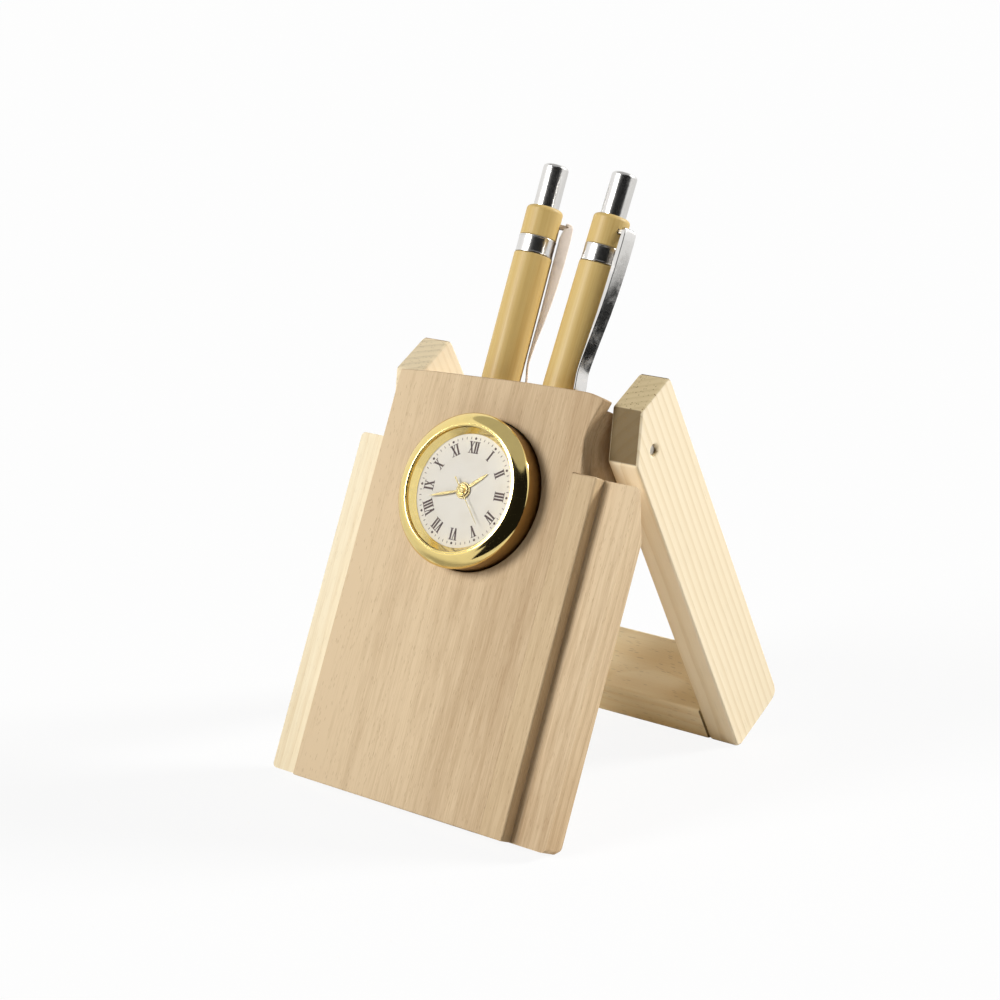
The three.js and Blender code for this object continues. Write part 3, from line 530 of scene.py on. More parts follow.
def new_group(name, inputs):
    """A shader node group whose inputs are vectors (None), colours (three numbers) or values (a number)."""
    tree = bpy.data.node_groups.new(name, "ShaderNodeTree")
    for label, default in inputs.items():
        kind = "Vector" if default is None else "Color" if isinstance(default, tuple) else "Float"
        socket = tree.interface.new_socket(name=label, in_out="INPUT", socket_type=f"NodeSocket{kind}")
        if default is not None:
            socket.default_value = (*default, 1) if kind == "Color" else default
    for label, kind in (("Color", "Color"), ("Roughness", "Float"), ("Height", "Float")):
        tree.interface.new_socket(name=label, in_out="OUTPUT", socket_type=f"NodeSocket{kind}")
    wiring = Wiring(tree)
    return wiring, wiring.add("NodeGroupInput").outputs


def wood_grain_group():
    """Sawn wood in millimetres, its grain along Z: growth rings about a pith line, pores, broad bands and
    painted shade.
    """
    wiring, given = new_group("wood_grain", {
        "Position": None, "Facing": None, "Pale": (0.6, 0.45, 0.3), "Deep": (0.5, 0.36, 0.22),
        "Pore": (0.3, 0.2, 0.1), "End": (0.6, 0.5, 0.3), "Bevel": (0.3, 0.2, 0.1), "End strength": 0.0,
        "Bevel strength": 0.0, "Drift": None, "Fibre strength": 0.2, "End pores": 0.5, "Pith across": 0.0,
        "Pith depth": 60.0, "Ring spacing": 2.0, "Ring strength": 0.5, "Waver": 1.0, "Pore spacing": 0.8,
        "Pore length": 5.0, "Pore size": 0.25, "Pore strength": 0.5, "Band strength": 0.4})
    times = wiring.times

    position = given["Position"]
    drift = wiring.noise(position, (0.045, 0.045, 0.012), output="Color")
    centred = wiring.vector("SUBTRACT", drift, (0.5, 0.5, 0.5))
    waver = wiring.add("ShaderNodeVectorMath", {0: centred, "Scale": given["Waver"]}, operation="SCALE")
    bent = wiring.vector("ADD", position, wiring.vector("MULTIPLY", waver.outputs[0], (6, 6, 0)))

    parts = wiring.add("ShaderNodeSeparateXYZ", {0: bent}).outputs
    across = wiring.math("SUBTRACT", parts["X"], given["Pith across"])
    depth = wiring.math("SUBTRACT", parts["Y"], given["Pith depth"])
    radius = wiring.math("SQRT", wiring.math("ADD", times(across, across), times(depth, depth)))
    ring = wiring.math("FRACT", wiring.math("DIVIDE", radius, given["Ring spacing"]))
    rings = times(wiring.ramp(ring, 0.35, 0.92), wiring.ramp(ring, 0.92, 1.0, 1.0, 0.0))
    band = wiring.ramp(wiring.noise(position, (0.16, 0.16, 0.014), 3.0, 0.55), 0.3, 0.7)
    thread = wiring.ramp(wiring.noise(position, (3.2, 3.2, 0.11), 3.0, 0.6), 0.34, 0.66, -0.5, 0.5)

    tone = times(band, given["Band strength"], times(rings, given["Ring strength"]))
    # Drift is painted shade: a steady darkening along the Drift direction, standing in for the light falling
    # off across the piece.
    along = wiring.add("ShaderNodeVectorMath", {0: position, 1: given["Drift"]}, operation="DOT_PRODUCT")
    tone = wiring.math("ADD", along.outputs["Value"], tone)
    tone = times(thread, given["Fibre strength"], tone, clamp=True)
    body = wiring.mix(tone, given["Pale"], given["Deep"])

    facing = wiring.add("ShaderNodeSeparateXYZ", {0: given["Facing"]}).outputs
    endwise = wiring.math("ABSOLUTE", facing["Z"])
    end = wiring.ramp(endwise, 0.3, 0.7)
    # Bevel strength paints shade: forward-facing end faces, the arms' top bevels, are mixed towards the
    # Bevel colour in place of the shade they sit in.
    slanting = times(endwise, times(facing["Y"], -1.0))
    bevel = times(wiring.ramp(slanting, 0.3, 0.45), given["Bevel strength"])
    ringed_end = wiring.mix(times(rings, 0.14), given["End"], given["Pore"])
    body = wiring.mix(times(end, given["End strength"]), body, ringed_end)
    body = wiring.mix(bevel, body, given["Bevel"])

    spread = wiring.add("ShaderNodeCombineXYZ", {
        index: wiring.math("DIVIDE", 1.0, given[size])
        for index, size in enumerate(("Pore spacing", "Pore spacing", "Pore length"))}).outputs[0]
    cells = wiring.add("ShaderNodeTexVoronoi", {"Vector": wiring.vector("MULTIPLY", bent, spread),
                                                "Scale": 1.0}).outputs
    near = wiring.math("DIVIDE", cells["Distance"], given["Pore size"])
    pore = wiring.ramp(near, 0.55, 1.0, 1.0, 0.0)
    chance = wiring.add("ShaderNodeSeparateColor", {0: cells["Color"]}).outputs[0]
    pores = times(pore, wiring.ramp(times(rings, 0.6, chance), 0.5, 0.8))
    strength = wiring.math("ADD", given["Pore strength"], times(end, given["End pores"]))
    colour = wiring.mix(times(pores, strength, clamp=True), body, given["Pore"])
    return wiring.outcome(colour, times(thread, 0.1, 0.62), times(thread, 0.35, times(pores, -1.0)))


def bamboo_group():
    """Turned bamboo in millimetres along Z: fine strands, drifting tone and a few darker streaks."""
    wiring, given = new_group("bamboo_strands", {
        "Position": None, "Pale": (0.7, 0.5, 0.2), "Deep": (0.5, 0.3, 0.1), "Strand strength": 0.5})
    position = given["Position"]
    strand = wiring.noise(position, (2.6, 2.6, 0.035), 4.0, 0.62)
    fine = wiring.ramp(strand, 0.36, 0.68)
    drift = wiring.ramp(wiring.noise(position, (0.32, 0.32, 0.02)), 0.3, 0.72)
    dark = wiring.ramp(wiring.noise(position, (1.1, 1.1, 0.05)), 0.58, 0.74)
    tone = wiring.times(drift, 0.4, wiring.times(fine, given["Strand strength"]))
    tone = wiring.times(dark, 0.25, tone, clamp=True)
    colour = wiring.mix(tone, given["Pale"], given["Deep"])
    return wiring.outcome(colour, wiring.times(fine, 0.1, 0.46), strand)


def handled_metal_group():
    """Polished or brushed metal in millimetres: smudges that dull it and fine lines across it."""
    wiring, given = new_group("handled_metal", {
        "Position": None, "Tint": (0.8, 0.8, 0.8), "Polish": 0.08, "Smudge": 0.08, "Line strength": 0.2})
    position = given["Position"]
    cloud = wiring.ramp(wiring.noise(position, (0.35, 0.35, 0.35), 4.0, 0.6), 0.4, 0.75)
    lines = wiring.noise(position, (0.4, 0.4, 9.0), 2.0, 0.6)
    uneven = wiring.times(cloud, given["Smudge"], given["Polish"])
    lined = wiring.times(given["Line strength"], 0.2)
    rough = wiring.times(wiring.math("SUBTRACT", lines, 0.5), lined, uneven, clamp=True)
    dulled = wiring.mix(wiring.times(cloud, 0.08), given["Tint"], (0.25, 0.2, 0.14))
    return wiring.outcome(dulled, rough, wiring.times(lines, given["Line strength"]))


def moulded_group():
    """Moulded plastic, rubber or a printed face in millimetres: fine grain, faint flow and dust."""
    wiring, given = new_group("moulded_surface", {
        "Position": None, "Tint": (0.1, 0.1, 0.1), "Dust": (0.5, 0.48, 0.44), "Grain size": 0.2,
        "Dust strength": 0.1, "Gloss": 0.5})
    position = given["Position"]
    grain = wiring.noise(position, wiring.math("DIVIDE", 1.0, given["Grain size"]), 3.0)
    flow = wiring.noise(position, (0.22, 0.22, 0.22), 3.0)
    dust = wiring.times(wiring.ramp(flow, 0.45, 0.75), given["Dust strength"], clamp=True)
    colour = wiring.mix(dust, given["Tint"], given["Dust"])
    return wiring.outcome(colour, wiring.times(grain, 0.14, given["Gloss"], clamp=True), grain)


EFFECTS = {"wood_grain": wood_grain_group, "bamboo_strands": bamboo_group,
           "handled_metal": handled_metal_group, "moulded_surface": moulded_group}


def new_material(name):
    """A material, the wiring of its nodes and its shader."""
    material = bpy.data.materials.new(name)
    material.use_nodes = True
    return material, Wiring(material.node_tree), material.node_tree.nodes["Principled BSDF"]


def effect_material(name, effect, turn=(0, 0, 0), shift=(0, 0, 0), relief=0.02, **values):
    """A material that wears one shared effect, whose node group is built when it is first wanted.

    turn and shift lay the effect's Z along the piece, and relief is the depth of its bump in millimetres.
    values set the effect's inputs, such as ring_spacing, and the shader's own, such as Coat_Weight.
    """
    material, wiring, shader = new_material(name)
    group = bpy.data.node_groups.get(effect) or EFFECTS[effect]()
    worn = wiring.add("ShaderNodeGroup", {"Position": wiring.position(turn, shift)}, node_tree=group)
    if "Facing" in worn.inputs:
        normal = wiring.add("ShaderNodeTexCoord").outputs["Normal"]
        facing = wiring.add("ShaderNodeMapping", {"Vector": normal, "Rotation": turn}, vector_type="VECTOR")
        wiring.feed(worn.inputs["Facing"], facing.outputs[0])
    for key, value in values.items():
        label = key.replace("_", " ")
        if label.capitalize() in worn.inputs:
            wiring.feed(worn.inputs[label.capitalize()], value)
        else:
            shader.inputs[label].default_value = value
    wiring.feed(shader.inputs["Base Color"], worn.outputs["Color"])
    wiring.feed(shader.inputs["Roughness"], worn.outputs["Roughness"])
    bump = wiring.add("ShaderNodeBump", {"Height": worn.outputs["Height"], "Strength": 1.0,
                                         "Distance": relief * MM})
    wiring.feed(shader.inputs["Normal"], bump.outputs["Normal"])
    return material


def wood_material(name, pale, deep, **values):
    """Wood between a pale and a deep tone."""
    return effect_material(name, "wood_grain", pale=pale, deep=deep, Specular_IOR_Level=0.25, **values)


def metal_material(name, tint, polish, smudge=0.05, lines=0.15, relief=0.0015):
    """Plated or bare metal with faint smudges and lines."""
    return effect_material(name, "handled_metal", relief=relief, tint=tint, polish=polish, smudge=smudge,
                           line_strength=lines, Metallic=1.0)


# Settings

class BodySettings(bpy.types.PropertyGroup):
    """Wood of the leaning body."""

    panel_pale: colour_property("Panel, pale", "Light wood of the front panel", (221, 196, 159))
    panel_deep: colour_property("Panel, deep", "Darker bands of the front panel", (182, 153, 116))
    stave_pale: colour_property("Stave, pale", "Light wood of the glued stave", (212, 187, 148))
    wing_pale: colour_property("Left wing, pale", "Light wood of the left wing", (247, 233, 201))
    wing_deep: colour_property("Left wing, deep", "Darker bands of the left wing", (230, 208, 168))
    pore: colour_property("Flecks", "Short dark flecks along the grain", (158, 125, 90))
    easing: length_property("Edge easing", "How far the sawn edges are sanded back", 0.35)
    corner: length_property("Wing corners", "Rounding of the wings' outer corners", 1.1)


class FrameSettings(bpy.types.PropertyGroup):
    """Wood of the folding frame."""

    arm_pale: colour_property("Arms, pale", "Light wood of the arms", (248, 232, 201))
    arm_deep: colour_property("Arms, deep", "Growth lines of the arms", (232, 211, 172))
    # Painted light: both crossbar colours are paler than the arms' wood, lightening the crossbar's shaded
    # front in place of light it does not get.
    bar_pale_with_painted_light: colour_property("Crossbar, pale", "Light wood of the crossbar", (255, 240, 206))
    bar_deep_with_painted_light: colour_property("Crossbar, deep", "Darker patches of the crossbar", (242, 218, 172))
    pore: colour_property("Pores", "Open pores on the ends and along the grain", (128, 104, 64))
    end: colour_property("Ends", "Sawn ends of the arms", (208, 188, 145))
    # Painted light: a lighter copy of the end colour that brightens the left arm's top in place of light it
    # does not get.
    left_end_painted_light: colour_property("Left arm's ends", "Sawn and sanded ends of the left arm", (236, 218, 182))
    # Painted shade: this colour darkens the arms' top bevels in place of the shade that falls on them.
    bevel: colour_property("Bevels", "Rough sawn bevels at the arms' tops", (94, 72, 34))
    easing: length_property("Edge easing", "How far the sawn edges are sanded back", 0.7)


class InsertSettings(bpy.types.PropertyGroup):
    """Gilt case of the clock insert."""

    gilt: colour_property("Gilt", "Colour of the plated case and bezel", (240, 216, 142))
    # Painted shade: a darker copy of the gilt for the case wall below the bezel, in place of the shade
    # there.
    case: colour_property("Case", "Duller brass of the case behind the bezel", (176, 142, 88))
    polish: number_property("Polish", "Roughness of the gilt", 0.09, max=1, subtype="FACTOR")
    sides: sides_property(128, 24, 256)


class DialSettings(bpy.types.PropertyGroup):
    """Dial and its marks."""

    face: colour_property("Dial", "Silvery white of the dial", (226, 221, 211))
    ink: colour_property("Marks", "Ink of the numerals and marks", (92, 78, 76))
    numeral_height: length_property("Numeral height", "Height of the hour numerals", 2.7)
    numeral_foot: length_property("Numeral foot", "Radius at which the numerals stand", 8.6)
    thick_stroke: length_property("Thick stroke", "Width of the numerals' thick strokes", 0.46)
    thin_stroke: length_property("Thin stroke", "Width of the numerals' thin strokes", 0.2)


class HandSettings(bpy.types.PropertyGroup):
    """Hands of the clock."""

    gilt: colour_property("Hands", "Colour of the hands", (186, 172, 128))
    hour_length: length_property("Hour hand", "Length of the hour hand", 7.2)
    minute_length: length_property("Minute hand", "Length of the minute hand", 9.0)
    second_length: length_property("Second hand", "Length of the second hand", 9.4)
    second_tail: length_property("Second hand tail", "Length of the second hand behind its hub", 3.6)


class MovementSettings(bpy.types.PropertyGroup):
    """Parts inside the clock and the pens."""

    housing: colour_property("Housing", "Black plastic of the movement", (34, 34, 35))
    plate: colour_property("Plate", "White plastic of the plate and wheels", (232, 229, 220))
    brass: colour_property("Brass", "Brass of the wheels", (203, 164, 86))
    steel: colour_property("Steel", "Steel of the battery and the motor", (170, 168, 163))
    copper: colour_property("Copper", "Enamelled wire of the coil", (176, 96, 52))


class PenSettings(bpy.types.PropertyGroup):
    """Bamboo pens with bright fittings."""

    pale: colour_property("Bamboo, pale", "Light strands of the bamboo", (214, 186, 120))
    deep: colour_property("Bamboo, deep", "Darker strands of the bamboo", (196, 158, 84))
    bright: colour_property("Fittings", "Plated metal of the ring, button, nose and clip", (222, 220, 217))
    clip_width: length_property("Clip width", "Width of the clip's face", 3.7)
    sides: sides_property(64, 12, 128)


class StageSettings(bpy.types.PropertyGroup):
    """Floor, lamps and camera."""

    floor: colour_property("Floor", "Colour of the floor", (240, 240, 239))
    key: number_property("Key lamp", "Strength of the lamp at the front left", 2.5)
    side: number_property("Side lamp", "Strength of the lamp at the back right", 3.45)
    around: number_property("Room light", "Strength of the light from all round", 0.08)
    lens: number_property("Lens", "Focal length of the camera", 87.672, low=1, unit="CAMERA")


# Body

class PENCLOCK_OT_make_body(bpy.types.Operator):
    """Make the leaning body's panel, stave, wings, pen block and pins"""

    bl_idname = "penclock.make_body"
    bl_label = "Make Body"

    def execute(self, context):
        settings = context.scene.penclock_body
        flecks = {"pore": settings.pore, "pore_spacing": 0.32, "pore_length": 2.6, "pore_size": 0.26,
                  "pore_strength": 0.42, "fibre_strength": 0.34}
        # drift paints shade: the panel, stave and right wing darken steadily towards the right, in place of
        # the key lamp's light falling off across the body.
        panel_wood = wood_material(
            "panel_wood", settings.panel_pale, settings.panel_deep, pith_across=-46.0, pith_depth=38.0,
            ring_spacing=3.1, ring_strength=0.14, waver=0.7, band_strength=0.4, drift=(0.014, 0, 0.002),
            **flecks)
        stave_wood = wood_material(
            "stave_wood", settings.stave_pale, settings.panel_deep, pith_across=70.0, pith_depth=30.0,
            ring_spacing=2.3, ring_strength=0.16, waver=0.5, band_strength=0.3, drift=(0.01, 0, -0.002),
            **flecks)
        left_wood = wood_material(
            "left_wing_wood", settings.wing_pale, settings.wing_deep, pith_across=-90.0, pith_depth=-20.0,
            ring_spacing=2.6, ring_strength=0.3, waver=0.5, band_strength=0.4,
            **{**flecks, "pore_strength": 0.16})
        right_wood = wood_material(
            "right_wing_wood", settings.panel_pale, settings.panel_deep, pith_across=62.0, pith_depth=-18.0,
            ring_spacing=2.4, ring_strength=0.26, waver=1.3, band_strength=0.35, drift=(0.012, 0, -0.008),
            **flecks)
        place = body_place()

        def add(node, wood, slot, joined, **more):
            def sharp(middle):
                return PANEL_DEPTH - 0.05 < middle.y < PANEL_DEPTH + 0.15 or joined(middle)

            add_board(node, place, wood, "stand", slot, settings.easing / MM, sharp=sharp, **more)

        add("front_panel", panel_wood, "panel_wood",
            lambda middle: middle.x > SEAM_X - 0.15 and middle.z < WING_HEIGHT + 0.15)
        add("front_stave", stave_wood, "stave_wood", lambda middle: middle.x < SEAM_X + 0.05,
            change=self.close_seam)
        add("pen_block", panel_wood, "panel_wood",
            lambda middle: middle.z < WING_HEIGHT + 0.15 and abs(middle.x) > BLOCK_HALF_WIDTH - 0.4)

        def outer_corner(middle, edge):
            along = (edge.verts[0].co - edge.verts[1].co).normalized()
            return abs(middle.x) > WING_HALF_WIDTH - 0.1 and abs(along.z) < 0.6

        for side, wood, slot in (("left", left_wood, "wing_wood"), ("right", right_wood, "panel_wood")):
            add(f"{side}_wing", wood, slot, lambda middle: abs(middle.x) < BLOCK_HALF_WIDTH + 0.2,
                wider=(outer_corner, settings.corner / MM))
        self.make_pins()
        return {"FINISHED"}

    def close_seam(self, stave):
        """Draws the stave up to the panel and over the joint's top."""
        for vertex in stave.vertices:
            if vertex.co.x < (SEAM_X + 0.05) * MM:
                vertex.co.x -= SEAM_CLOSED * MM
            if vertex.co.z > (WING_HEIGHT - 0.05) * MM:
                vertex.co.z += SEAM_CLOSED * MM

    def make_pins(self):
        steel = metal_material("pin_steel", linear(204, 199, 190), 0.5, smudge=0.2, lines=0.3, relief=0.004)
        for side, way in (("left", -1), ("right", 1)):
            low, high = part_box(f"{side}_pivot_pin")
            length = (high.x - low.x) / MM
            foot = Vector((high.x if way < 0 else low.x, *(JOINTS["frame_fold"]["pos_m"][1:])))
            place = place_at(foot, (way, 0, 0), across=(0, 1, 0))
            add_turned(f"{side}_pin_steel", [
                (0, 0), (PIN_RADIUS / 2, 0), (PIN_RADIUS, 0.6), (PIN_RADIUS, length - 1),
                (PIN_HEAD_RADIUS, length - 1), (PIN_HEAD_RADIUS, length - 0.2),
                *arc(PIN_HEAD_RADIUS - 0.2, length - 0.2, 0.2, 0, 90, 4), (0, length)],
                48, place, steel, "stand", "steel", f"{side}_pivot_pin")


# Frame

class PENCLOCK_OT_make_frame(bpy.types.Operator):
    """Make the folding frame's arms, crossbar and dowels"""

    bl_idname = "penclock.make_frame"
    bl_label = "Make Frame"

    def execute(self, context):
        settings = context.scene.penclock_frame
        # pores carries the bevel colour, painted shade for the arms' top bevels; rough lays it on the right
        # arm at 0.85, sanded leaves it off.
        pores = {"pore": settings.pore, "pore_spacing": 0.6, "pore_length": 7.0, "pore_size": 0.34,
                 "pore_strength": 0.05, "end_strength": 0.9, "bevel": settings.bevel, "fibre_strength": 0.12}
        rough = {**pores, "end": settings.end, "bevel_strength": 0.85, "end_pores": 0.8,
                 "ring_strength": 0.6}
        # sanded gives the left arm's ends the lighter end colour, which is painted light.
        sanded = {**pores, "end": settings.left_end_painted_light, "bevel_strength": 0.0, "end_pores": 0.3,
                  "ring_strength": 0.35}
        place = frame_place()

        def add(node, wood):
            add_board(node, place, wood, "frame", "frame_wood", settings.easing / MM)

        for side, across, depth, ends in (("left", -8.0, -52.0, sanded), ("right", 56.0, -48.0, rough)):
            add(f"{side}_arm", wood_material(
                f"{side}_arm_wood", settings.arm_pale, settings.arm_deep, pith_across=across,
                pith_depth=depth, ring_spacing=2.0, waver=0.35, band_strength=0.15, **ends))
        # The crossbar and dowels wear the paler colours that paint in light.
        add("crossbar", wood_material(
            "crossbar_wood", settings.bar_pale_with_painted_light, settings.bar_deep_with_painted_light, turn=LYING, pith_across=30.0,
            pith_depth=25.0, ring_spacing=3.4, waver=2.4, band_strength=0.6,
            **{**rough, "ring_strength": 0.4, "pore_length": 3.0, "pore_strength": 0.2}))
        dowel_wood = wood_material("dowel_wood", settings.bar_pale_with_painted_light, settings.bar_deep_with_painted_light, turn=LYING,
                                   ring_spacing=1.2, **rough)
        dress(dowel_wood, "left_dowel", "right_dowel")
        return {"FINISHED"}


# Clock insert

class PENCLOCK_OT_make_insert(bpy.types.Operator):
    """Make the clock insert's case, bezel, crystal, inner ring and grip ring"""

    bl_idname = "penclock.make_insert"
    bl_label = "Make Insert"

    def execute(self, context):
        settings = context.scene.penclock_insert
        place = clock_place()
        gilt = metal_material("gilt", settings.gilt, settings.polish)
        # The case's darker tint is painted shade; its roughness of 0.3 is a duller finish.
        brass = metal_material("case_brass_painted_shade", settings.case, 0.3, smudge=0.15, lines=0.4)
        rubber = effect_material("grip_rubber", "moulded_surface", tint=linear(40, 39, 38), grain_size=0.15,
                                 dust_strength=0.3, gloss=0.7)

        def add(name, profile, material, slot, node):
            return add_turned(name, profile, settings.sides, place, material, "clock", slot, node)

        lip = arc(14.6, LIP_HEIGHT, 0.32, 50, 180, 8)
        add("bezel_gilt", [(BEZEL_BORE, BEZEL_FOOT), *self.dome(), *lip, (BEZEL_BORE, LIP_HEIGHT)], gilt,
            "gold", "clock_bezel")
        add("dial_ring_gilt", [(13.0, 4.5), (GLASS_RADIUS, 4.5), (GLASS_RADIUS, 5.9), (14.25, 5.9),
                               (13.05, 4.56)], gilt, "gold", "dial_ring")
        inside = CASE_RADIUS - 0.8
        groove = CASE_RADIUS - 0.45
        case = add("case_brass_painted_shade", [
            (0, CASE_BACK), (CASE_RADIUS - 0.3, CASE_BACK), (CASE_RADIUS, CASE_BACK + 0.3),
            (CASE_RADIUS, CASE_BACK + 0.9), (groove, CASE_BACK + 0.9), (groove, CASE_BACK + 2.0),
            (CASE_RADIUS, CASE_BACK + 2.0), (CASE_RADIUS, CASE_FRONT), (inside, CASE_FRONT),
            (inside, CASE_BACK + 0.8), (0, CASE_BACK + 0.8)], brass, "gold", "clock_case")
        self.open_back(case, place)
        edge = GLASS_RADIUS - 0.1
        add("crystal_glass", [
            (0, GLASS_FOOT), (edge, GLASS_FOOT), (GLASS_RADIUS, GLASS_FOOT + 0.1),
            (GLASS_RADIUS, GLASS_TOP - 0.1), (edge, GLASS_TOP), (0, GLASS_TOP)],
            self.glass(), "glass", "clock_crystal")
        add("grip_rubber", [(16.96, -2.1), (17.5, -1.76), (17.5, -1.54), (16.96, -1.2)], rubber, "rubber",
            "grip_ring")
        return {"FINISHED"}

    def dome(self):
        """The bezel's outer edge and its dome, a quarter of an ellipse cut short."""
        points = [(CASE_RADIUS, BEZEL_FOOT), (BEZEL_RADIUS - 0.18, BEZEL_FOOT + 0.04),
                  (BEZEL_RADIUS - 0.02, BEZEL_FOOT + 0.2)]
        start, end = (math.radians(angle) for angle in DOME_ANGLES)
        steps = 18
        for step in range(steps + 1):
            angle = start + (end - start) * step / steps
            points.append((BEZEL_RADIUS - DOME_WIDE * (math.sin(start) - math.sin(angle)),
                           DOME_FOOT + DOME_HIGH * (math.cos(angle) - math.cos(start))))
        return points

    def open_back(self, case, place):
        """Cuts the case's openings for the battery cover and the setting knob."""
        for node, clearance in (("battery_cover", 0.1), ("setting_knob", 0.3)):
            points = own_points(node, place)
            middle = sum(points, Vector()) / len(points)
            reach = clearance + max(math.hypot(point.x - middle.x, point.y - middle.y) for point in points)
            cutter = turned("case_cut", [(0, -6), (reach, -6), (reach, 0), (0, 0)], 64)
            cut_out(case, "case_cut", cutter, place @ Matrix.Translation((middle.x * MM, middle.y * MM, 0)))

    def glass(self):
        """Thin clear glass, faintly smeared, that lets lamps shine through to the dial."""
        material, wiring, shader = new_material("crystal_glass")
        shader.inputs["Base Color"].default_value = (0.99, 0.99, 0.985, 1)
        shader.inputs["Transmission Weight"].default_value = 1.0
        shader.inputs["IOR"].default_value = 1.2
        smear = wiring.ramp(wiring.noise(wiring.position(), 0.25, 3.0), 0.45, 0.75, 0.0, 0.03)
        wiring.feed(shader.inputs["Roughness"], smear)
        path = wiring.add("ShaderNodeLightPath").outputs
        lit = wiring.math("MAXIMUM", path["Is Shadow Ray"], path["Is Diffuse Ray"])
        wiring.surface(wiring.blend(lit, shader, wiring.add("ShaderNodeBsdfTransparent")))
        return material


# Dial

def slanted(x_foot, x_top, width):
    """The four corners of a stroke from its foot to its top, in shares of a numeral's height."""
    half = width / 2
    return [(x_foot - half, 0.0), (x_foot + half, 0.0), (x_top + half, 1.0), (x_top - half, 1.0)]


def letter_strokes(letter, thick, thin):
    """Strokes of one letter of a numeral, in shares of its height, with its left side at zero."""
    width = LETTER_WIDTHS[letter]
    serif = thin * 0.75
    left, right = width * 0.16, width * 0.84

    def serifs(centre, half, top):
        low = 1 - serif if top else 0
        return [(centre - half, low), (centre + half, low), (centre + half, low + serif),
                (centre - half, low + serif)]

    if letter == "I":
        return [slanted(width / 2, width / 2, thick), serifs(width / 2, thick * 0.95, True),
                serifs(width / 2, thick * 0.95, False)]
    tops = [serifs(left, thick * 0.85, True), serifs(right, thick * 0.7, True)]
    if letter == "V":
        return [slanted(width / 2, left, thick), slanted(width / 2, right, thin), *tops]
    return [slanted(right, left, thick), slanted(left, right, thin), *tops,
            serifs(left, thick * 0.7, False), serifs(right, thick * 0.85, False)]


def on_dial(outwards, sideways, bearing):
    """A point of the dial, so far out along a bearing and so far to the right of it."""
    return (outwards * math.cos(bearing) + sideways * math.sin(bearing),
            outwards * math.sin(bearing) - sideways * math.cos(bearing))


class PENCLOCK_OT_make_dial(bpy.types.Operator):
    """Make the dial with its numerals and minute marks"""

    bl_idname = "penclock.make_dial"
    bl_label = "Make Dial"

    def execute(self, context):
        settings = context.scene.penclock_dial
        place = clock_place()
        face = effect_material(
            "dial_face", "moulded_surface", relief=0.004, tint=settings.face, dust=linear(214, 206, 192),
            grain_size=0.09, dust_strength=0.35, gloss=0.6, Specular_IOR_Level=0.05)
        add_turned("dial_face", [(1.75, 4.0), (16.2, 4.0), (16.2, DIAL_FACE), (1.75, DIAL_FACE)],
                   context.scene.penclock_insert.sides, place, face, "clock", "dial_silver", "dial")
        ink = effect_material(
            "dial_ink", "moulded_surface", relief=0.003, tint=settings.ink, dust=linear(128, 112, 106),
            grain_size=0.12, dust_strength=0.3, gloss=0.6, Specular_IOR_Level=0.05)
        points, faces = [], []
        for corners in self.numeral_strokes(settings) + self.minute_marks():
            first, count = len(points), len(corners)
            for height in (DIAL_FACE - 0.004, DIAL_FACE + MARK_RISE):
                points += [(x, y, height) for x, y in corners]
            faces += skin((first, first + count), count)
        add_piece("dial_marks", mesh_from("dial_marks", points, faces), place, ink, "clock", "black_plastic")
        return {"FINISHED"}

    def numeral_strokes(self, settings):
        height = settings.numeral_height / MM
        foot = settings.numeral_foot / MM
        thick = settings.thick_stroke / settings.numeral_height
        thin = settings.thin_stroke / settings.numeral_height
        strokes = []
        for hour, numeral in enumerate(NUMERALS, start=1):
            bearing = math.pi / 2 + DIAL_TURN - hour * math.pi / 6
            total = sum(LETTER_WIDTHS[letter] for letter in numeral) + LETTER_GAP * (len(numeral) - 1)
            left = -total / 2
            for letter in numeral:
                for corners in letter_strokes(letter, thick, thin):
                    strokes.append([on_dial(foot + y * height, (left + x) * height, bearing)
                                    for x, y in corners])
                left += LETTER_WIDTHS[letter] + LETTER_GAP
        return strokes

    def minute_marks(self):
        marks = []
        for minute in range(60):
            bearing = math.pi / 2 + DIAL_TURN - minute * math.pi / 30
            if minute % 5:
                marks.append([on_dial(radius, half, bearing) for radius, half in MARK_CORNERS])
                continue
            x, y = on_dial(DOT_CENTRE, 0, bearing)
            marks.append([(x + DOT_RADIUS * math.cos(step * math.pi / 6),
                           y + DOT_RADIUS * math.sin(step * math.pi / 6)) for step in range(12)])
        return marks


# Hands

